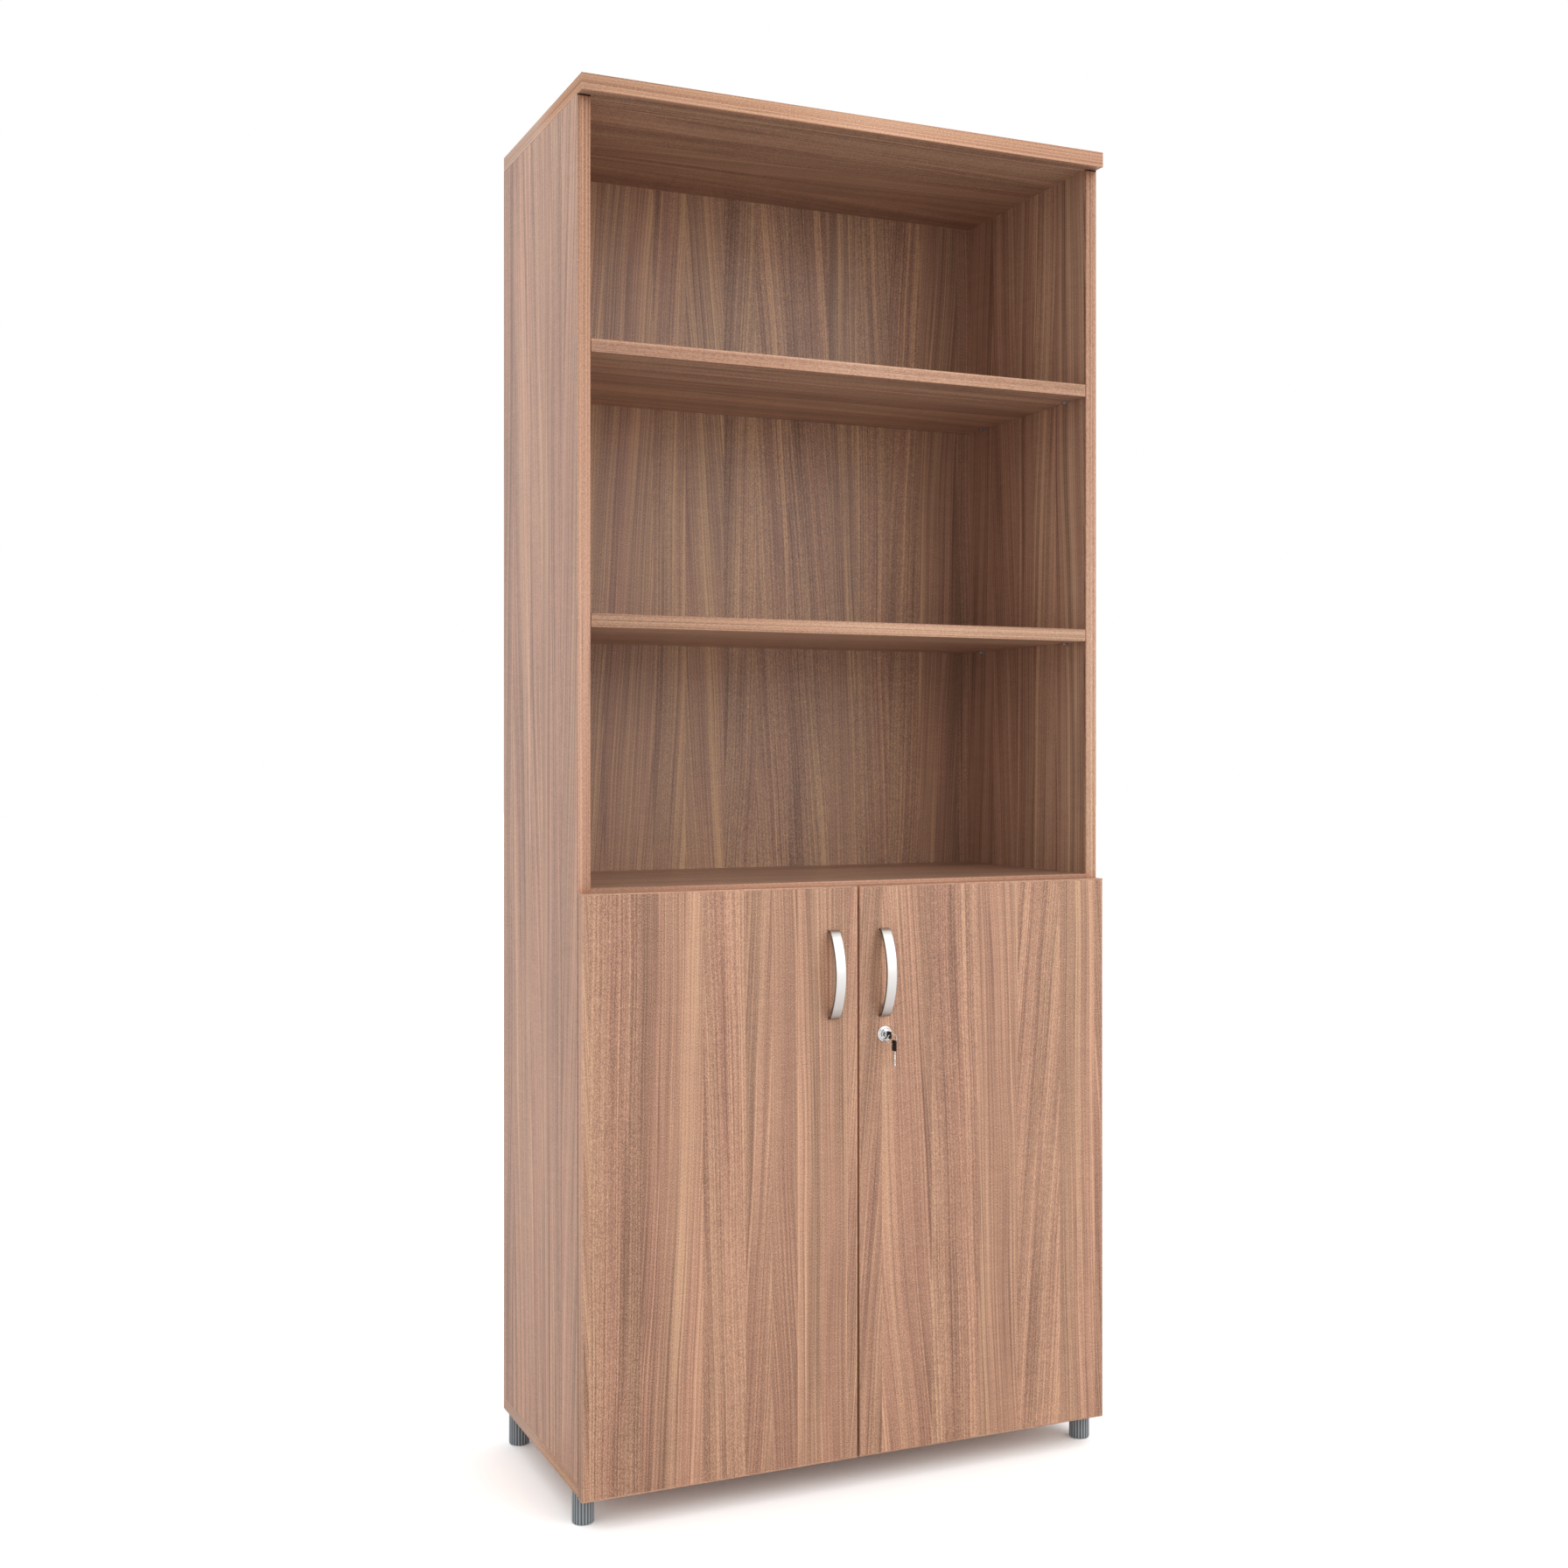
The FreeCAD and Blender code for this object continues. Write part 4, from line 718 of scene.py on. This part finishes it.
# head radius, head height, shank radius, thread pitch, pointed tip, and the axis that the screws lie along
screwKinds = {
    "left_door_screws": (3.2, 1.2, 1.75, 1.4, True, "y"),
    "right_door_screws": (3.2, 1.2, 1.75, 1.4, True, "y"),
    "left_handle_screws": (4.0, 2.4, 2.0, 0.8, False, "y"),
    "right_handle_screws": (4.0, 2.4, 2.0, 0.8, False, "y"),
    "hinge_plate_screws": (4.5, 1.5, 3.1, 2.2, True, "x"),
    "hinge_arm_screws": (4.5, 1.5, 2.2, 0.9, False, "x"),
    "lock_cam_screw": (4.0, 2.2, 2.0, 0.8, False, "y"),
}


# the underside of the head is at z = 0
def crossScrew(headRadius, headHeight, shankRadius, length, pitch, pointed):
    core = screwLook["core"] * shankRadius
    tip = screwLook["tip"] * shankRadius if pointed else 0.0
    outline = [(0.0, -length)] + ([] if pointed else [(core, -length)])
    depth = length - tip
    while depth > pitch:
        outline += [(core, -depth), (shankRadius, -depth + pitch / 2)]
        depth -= pitch
    outline += [(core, -depth), (shankRadius, -screwLook["neck"]), (shankRadius, 0.0), (headRadius, 0.0)]
    outline += domed(headRadius, screwLook["rim"] * headHeight, headHeight, screwLook["domeSteps"])
    screw = tidyMesh("crossScrew", turned(outline, screwLook["steps"]))
    arm, halfSlot = screwLook["arm"] * headRadius, screwLook["slot"] * headRadius / 2
    thickness = 2 * screwLook["recessDepth"] * headHeight
    return carved(screw, [tidyMesh("recess", plate(rectangle(-x, -y, x, y), thickness, headHeight))
                          for x, y in ((arm, halfSlot), (halfSlot, arm))])


for seed, (node, kind) in enumerate(screwKinds.items()):
    headRadius, headHeight, shankRadius, pitch, pointed, axis = kind
    places = []
    for low, high in solidsOf(node):
        middle = (low + high) / 2
        if axis == "y":
            middle.y = high.y - headHeight * mm
            direction, length = (0, 1, 0), high.y - low.y
        else:
            inward = -1 if middle.x > 0 else 1
            middle.x = (high.x if inward > 0 else low.x) - inward * headHeight * mm
            direction, length = (inward, 0, 0), high.x - low.x
        places.append((middle, direction))
    screw = crossScrew(headRadius, headHeight, shankRadius, length / mm - headHeight, pitch, pointed)
    fittingRow("crossScrews." + node, screw, places, seed, node)

# Bumpers: small clear domes
bumper = {"rim": 0.2, "domeSteps": 8, "steps": 32, "turnSeed": 11}
bumperBoxes = solidsOf("door_bumpers")
low, high = bumperBoxes[0]
bumperRadius, bumperHeight = (high.x - low.x) / 2 / mm, (high.y - low.y) / mm
domeOutline = [(0.0, 0.0), (bumperRadius, 0.0)]
domeOutline += domed(bumperRadius, bumper["rim"], bumperHeight, bumper["domeSteps"])
bumperDome = tidyMesh("bumperDome", turned(domeOutline, bumper["steps"]))
bumperPlaces = [(Vector(((low.x + high.x) / 2, high.y, (low.z + high.z) / 2)), (0, -1, 0))
                for low, high in bumperBoxes]
fittingRow("bumperDomes", bumperDome, bumperPlaces, bumper["turnSeed"], "door_bumpers")
print("screws and bumpers set")

# Cylinder lock: heights are millimetres in front of the door, towards the room. The faces are turned with
# fine lines, given as (out from the radius, down from the front).
lockSet = {"rosette": 11.0, "rosetteHeight": 2.0, "rosetteRim": 0.9, "rosetteRound": (1.2, 1.1),
           "roundSteps": 6, "rosetteFace": ((1.1, 0.0), (0.7, 0.5), (0.0, 0.6)),
           "barrel": 8.0, "barrelNose": 3.4, "barrelTail": -21.0, "bore": 5.8, "boreChamfer": 0.3,
           "tailTaper": 0.4,
           "barrelFace": ((-1.2, 0.0), (-0.9, 0.25), (-0.6, 0.25), (-0.4, 0.05), (0.0, 0.5)),
           "threadPitch": 1.5, "threadDepth": 0.45, "threadStart": -6.0,
           "plug": 5.75, "plugNose": 5.0, "plugEnd": -21.3, "hub": 4.0, "hubEnd": -23.3,
           "plugFace": ((0.0, 0.7), (-0.25, 0.2), (-0.8, 0.0), (-1.85, 0.0), (-2.05, 0.15), (-5.75, 0.15)),
           "keyway": (2.0, 6.8), "keywayDepth": 16.1, "steps": 64}
low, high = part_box("lock_rosette")
lockFrame = facing(Vector(((low.x + high.x) / 2, high.y, (low.z + high.z) / 2)), (0, -1, 0))
outer, inner, rise = lockSet["rosette"], lockSet["barrel"], lockSet["rosetteHeight"]
across, up = lockSet["rosetteRound"]
rosetteOutline = [(inner, 0.0), (outer, 0.0), (outer, lockSet["rosetteRim"])]
rosetteOutline += [(outer - across + across * math.cos(a), rise - up + up * math.sin(a))
                   for a in quarterTurn(lockSet["roundSteps"])]
rosetteOutline += [(inner + out, rise - down) for out, down in lockSet["rosetteFace"]]
rosette = tidyMesh("lockRosette", turned(rosetteOutline, lockSet["steps"], True))

nose, tail, bore, chamfer = [lockSet[key] for key in ("barrelNose", "barrelTail", "bore", "boreChamfer")]
barrelOutline = [(bore, tail), (bore, nose - chamfer), (bore + chamfer, nose)]
barrelOutline += [(inner + out, nose - down) for out, down in lockSet["barrelFace"]]
height = lockSet["threadStart"]
while height - lockSet["threadPitch"] > tail:
    barrelOutline += [(inner, height), (inner - lockSet["threadDepth"], height - lockSet["threadPitch"] / 2)]
    height -= lockSet["threadPitch"]
barrelOutline += [(inner, height), (inner - lockSet["tailTaper"], tail)]
barrel = tidyMesh("lockBarrel", turned(barrelOutline, lockSet["steps"], True))

hub, hubEnd, radius, plugEnd = [lockSet[key] for key in ("hub", "hubEnd", "plug", "plugEnd")]
plugOutline = [(0.0, hubEnd), (hub, hubEnd), (hub, plugEnd), (radius, plugEnd)]
plugOutline += [(radius + out, lockSet["plugNose"] - down) for out, down in lockSet["plugFace"]]
plug = tidyMesh("lockPlug", turned(plugOutline, lockSet["steps"]))
halfWidth, halfHeight = [extent / 2 for extent in lockSet["keyway"]]
slot = plate(rectangle(-halfWidth, -halfHeight, halfWidth, halfHeight), 2 * lockSet["keywayDepth"])
plug = carved(plug, [tidyMesh("keyway", slot)])
lockPieces = (("lockRosette", rosette, "lock_rosette"), ("lockBarrel", barrel, "lock_barrel"),
              ("lockPlug", plug, "lock_plug"))
for name, mesh, node in lockPieces:
    mesh.transform(lockFrame)
    keepPiece(name, mesh, node)

# Keys: a plate with rounded corners and a ring hole, moulded over a blade with cuts along its edge.
# Along runs from the blade's tip to the ring end of the bow, in millimetres.
keyLook = {"holeRadius": 2.2, "holeMargin": 3.6, "holeSteps": 32, "ringCorner": 1.5, "bladeCorner": 0.7,
           "cornerSteps": 6, "bowEdge": 0.45, "cutDepths": (0.4, 0.8, 0.3, 0.7, 0.5), "cutStep": 3.0,
           "cutShape": ((0.2, 0), (0.5, 1), (0.75, 1), (1.0, 0)),   # shares of a cut's step and of its depth
           "tip": 2.4, "tipShare": 0.35, "mill": (0.9, 0.35), "millPlace": 0.1, "millOver": 1.0,
           "bladeEdge": 0.12}


def roundedPlate(length, height, corners):
    outline = []
    for x, y, radius, start in ((length, -height / 2, corners[1], 270), (length, height / 2, corners[1], 0),
                                (0.0, height / 2, corners[0], 90), (0.0, -height / 2, corners[0], 180)):
        cx = x - radius if x > 0 else x + radius
        cy = y - radius if y > 0 else y + radius
        outline += [(cx + radius * math.cos(a), cy + radius * math.sin(a))
                    for a in (math.radians(start) + b for b in quarterTurn(keyLook["cornerSteps"]))]
    return outline


def keyBow(length, height, thickness):
    outline = roundedPlate(length, height, (keyLook["bladeCorner"], keyLook["ringCorner"]))
    bow = tidyMesh("keyBow", plate(outline, thickness))
    radius = keyLook["holeRadius"]
    hole = turned([(0.0, -thickness), (radius, -thickness), (radius, thickness), (0.0, thickness)],
                  keyLook["holeSteps"])
    bmesh.ops.translate(hole, verts=hole.verts, vec=((length - keyLook["holeMargin"]) * mm, 0, 0))
    return bevelled(carved(bow, [tidyMesh("ringHole", hole)]), keyLook["bowEdge"])


def keyBlade(length, height, thickness):
    half, tip = height / 2, keyLook["tip"]
    nose = keyLook["tipShare"] * half
    outline = [(length, -half), (length, half), (tip, half), (0.0, nose), (0.0, -nose), (tip, -half)]
    for i, depth in enumerate(keyLook["cutDepths"]):
        outline += [(tip + keyLook["cutStep"] * (i + share), -half + depth * sunk)
                    for share, sunk in keyLook["cutShape"]]
    blade = tidyMesh("keyBlade", plate(outline, thickness))
    millWidth, millDepth = keyLook["mill"]
    low, over = keyLook["millPlace"], keyLook["millOver"]
    groove = rectangle(-over, low, length + over, low + millWidth)
    mills = [tidyMesh("mill", plate(groove, 2 * millDepth, z)) for z in (-thickness / 2, thickness / 2)]
    return bevelled(carved(blade, mills), keyLook["bladeEdge"])


# the plates' X runs along the key, their Y across it, and their thickness lies along the world's X
keyWays = {"key": ("insertedKey", Vector((0, -1, 0)), Vector((0, 0, 1))),
           "spare_key": ("spareKey", Vector((0, 0, 1)), Vector((0, 1, 0)))}
for key, (title, along, across) in keyWays.items():
    turnTo = Matrix((along, across, along.cross(across))).transposed().to_4x4()
    for part, partTitle, make in (("_bow", "Bow", keyBow), ("_blade", "Blade", keyBlade)):
        low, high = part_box(key + part)
        extent = high - low
        length, height = abs(extent.dot(along)) / mm, abs(extent.dot(across)) / mm
        mesh = make(length, height, extent.x / mm)
        start = (low + high) / 2 - along * (length / 2 * mm)
        mesh.transform(Matrix.Translation(start) @ turnTo)
        keepPiece(title + partTitle, mesh, key + part)
print("lock and keys made")

# Stamped, drawn and cast metal: copies of the solids with their triangles joined and their edges broken, by
# the width of the break in millimetres
edgeBreaks = {
    "hinge_plates": 0.35, "hinge_arms": 0.35, "left_hinge_cups": 0.22, "right_hinge_cups": 0.22,
    "left_outer_links": 0.2, "right_outer_links": 0.2, "left_inner_links": 0.2, "right_inner_links": 0.2,
    "hinge_arm_pins": 0.15, "left_hinge_cup_pins": 0.15, "right_hinge_cup_pins": 0.15, "lock_nut": 0.4,
    "lock_cam": 0.3, "lock_strike": 0.3, "bolt_case": 0.4, "slide_bolt": 0.5, "shelf_pins": 0.35,
}
for node, width in edgeBreaks.items():
    shape = bare(node)
    bmesh.ops.dissolve_limit(shape, angle_limit=math.radians(cleaning["flatAngle"]), verts=shape.verts,
                             edges=shape.edges)
    keepPiece("broken." + node, bevelled(tidyMesh(node, shape), width), node)
print("metal edges broken")

# Edging: smooth copies whose rounded edges catch the light
edgingAngle = 40   # degrees, below which an edge of a strip is smooth
for node in edges:
    keepPiece("smooth." + node, tidyMesh(node, bare(node), edgingAngle), node)
print("edging smoothed")

# Studio: a paper floor that is seen white outside the bookcase's shadow, an even white surround, and a broad
# soft lamp from the right, which lights the doors more than the left side
studio = {"floorSize": 60.0, "floorColour": 0.72, "floorMirrored": 1.0, "floorSeen": 1.53, "surround": 0.88,
          "surroundSeen": 1.0, "lampSize": 5.0, "lampPower": 115.0, "lampPlace": (3.2, -5.8, 4.0),
          "lampAim": (0.0, -0.1, 0.9)}


# the rays of the camera, and those that metal and glass mirror or let through
def raysOf(tree):
    path = addNode(tree, "ShaderNodeLightPath").outputs
    mirrored = addNode(tree, "ShaderNodeMath", {0: path["Is Glossy Ray"], 1: path["Is Transmission Ray"]},
                       operation="MAXIMUM")
    return path["Is Camera Ray"], mirrored


floorMesh = bpy.data.meshes.new("studioFloor")
half = studio["floorSize"] / 2
floorMesh.from_pydata([(x, y, 0) for x, y in rectangle(-half, -half, half, half)], [], [(0, 1, 2, 3)])
floor = bpy.data.objects.new("studioFloor", floorMesh)
bpy.context.collection.objects.link(floor)
# matt white paper: no gloss, white to the camera and in metal, and greyer in the light that it gives back
floorMaterial, tree = newMaterial("whitePaperFloor")
cameraRay, mirrored = raysOf(tree)
tone = addNode(tree, "ShaderNodeMapRange", {
    "Value": mirrored, "To Min": studio["floorColour"], "To Max": studio["floorMirrored"]})
tone = addNode(tree, "ShaderNodeMapRange", {
    "Value": cameraRay, "To Min": tone, "To Max": studio["floorSeen"]})
shader = addNode(tree, "ShaderNodeBsdfDiffuse", {"Color": tone})
addNode(tree, "ShaderNodeOutputMaterial", {"Surface": shader})
floorMesh.materials.append(floorMaterial)

world = bpy.data.worlds.new("whiteSurround")
bpy.context.scene.world = world
world.use_nodes = True
tree = world.node_tree
tree.nodes.clear()
cameraRay, mirrored = raysOf(tree)
seen = addNode(tree, "ShaderNodeMath", {0: cameraRay, 1: mirrored}, operation="MAXIMUM")
strength = addNode(tree, "ShaderNodeMapRange", {
    "Value": seen, "To Min": studio["surround"], "To Max": studio["surroundSeen"]})
glow = addNode(tree, "ShaderNodeBackground", {"Color": (1, 1, 1, 1), "Strength": strength})
addNode(tree, "ShaderNodeOutputWorld", {"Surface": glow})

softLamp = bpy.data.lights.new("softLamp", "AREA")
softLamp.size = studio["lampSize"]
softLamp.energy = studio["lampPower"]
lamp = bpy.data.objects.new("softLamp", softLamp)
lamp.location = studio["lampPlace"]
lampRay = Vector(studio["lampAim"]) - Vector(studio["lampPlace"])
lamp.rotation_euler = lampRay.to_track_quat("-Z", "Y").to_euler()
bpy.context.collection.objects.link(lamp)

# Camera: level, turned to the right, with the horizon a little above the middle of the picture
view = {"place": (-1.132167, -2.490656, 1.010386), "turn": 23.773, "focalPixels": 2124.463,
        "horizonPixel": 865.07, "imagePixels": 1792, "sensor": 36.0}
cameraData = bpy.data.cameras.new("photoCamera")
cameraData.sensor_width = view["sensor"]
cameraData.lens = view["focalPixels"] / view["imagePixels"] * view["sensor"]
cameraData.shift_y = (view["horizonPixel"] - view["imagePixels"] / 2) / view["imagePixels"]
camera = bpy.data.objects.new("photoCamera", cameraData)
camera.location = view["place"]
camera.rotation_euler = (math.radians(90), 0, -math.radians(view["turn"]))
bpy.context.collection.objects.link(camera)
bpy.context.scene.camera = camera
bpy.context.scene.view_settings.view_transform = "Standard"
print("studio set")
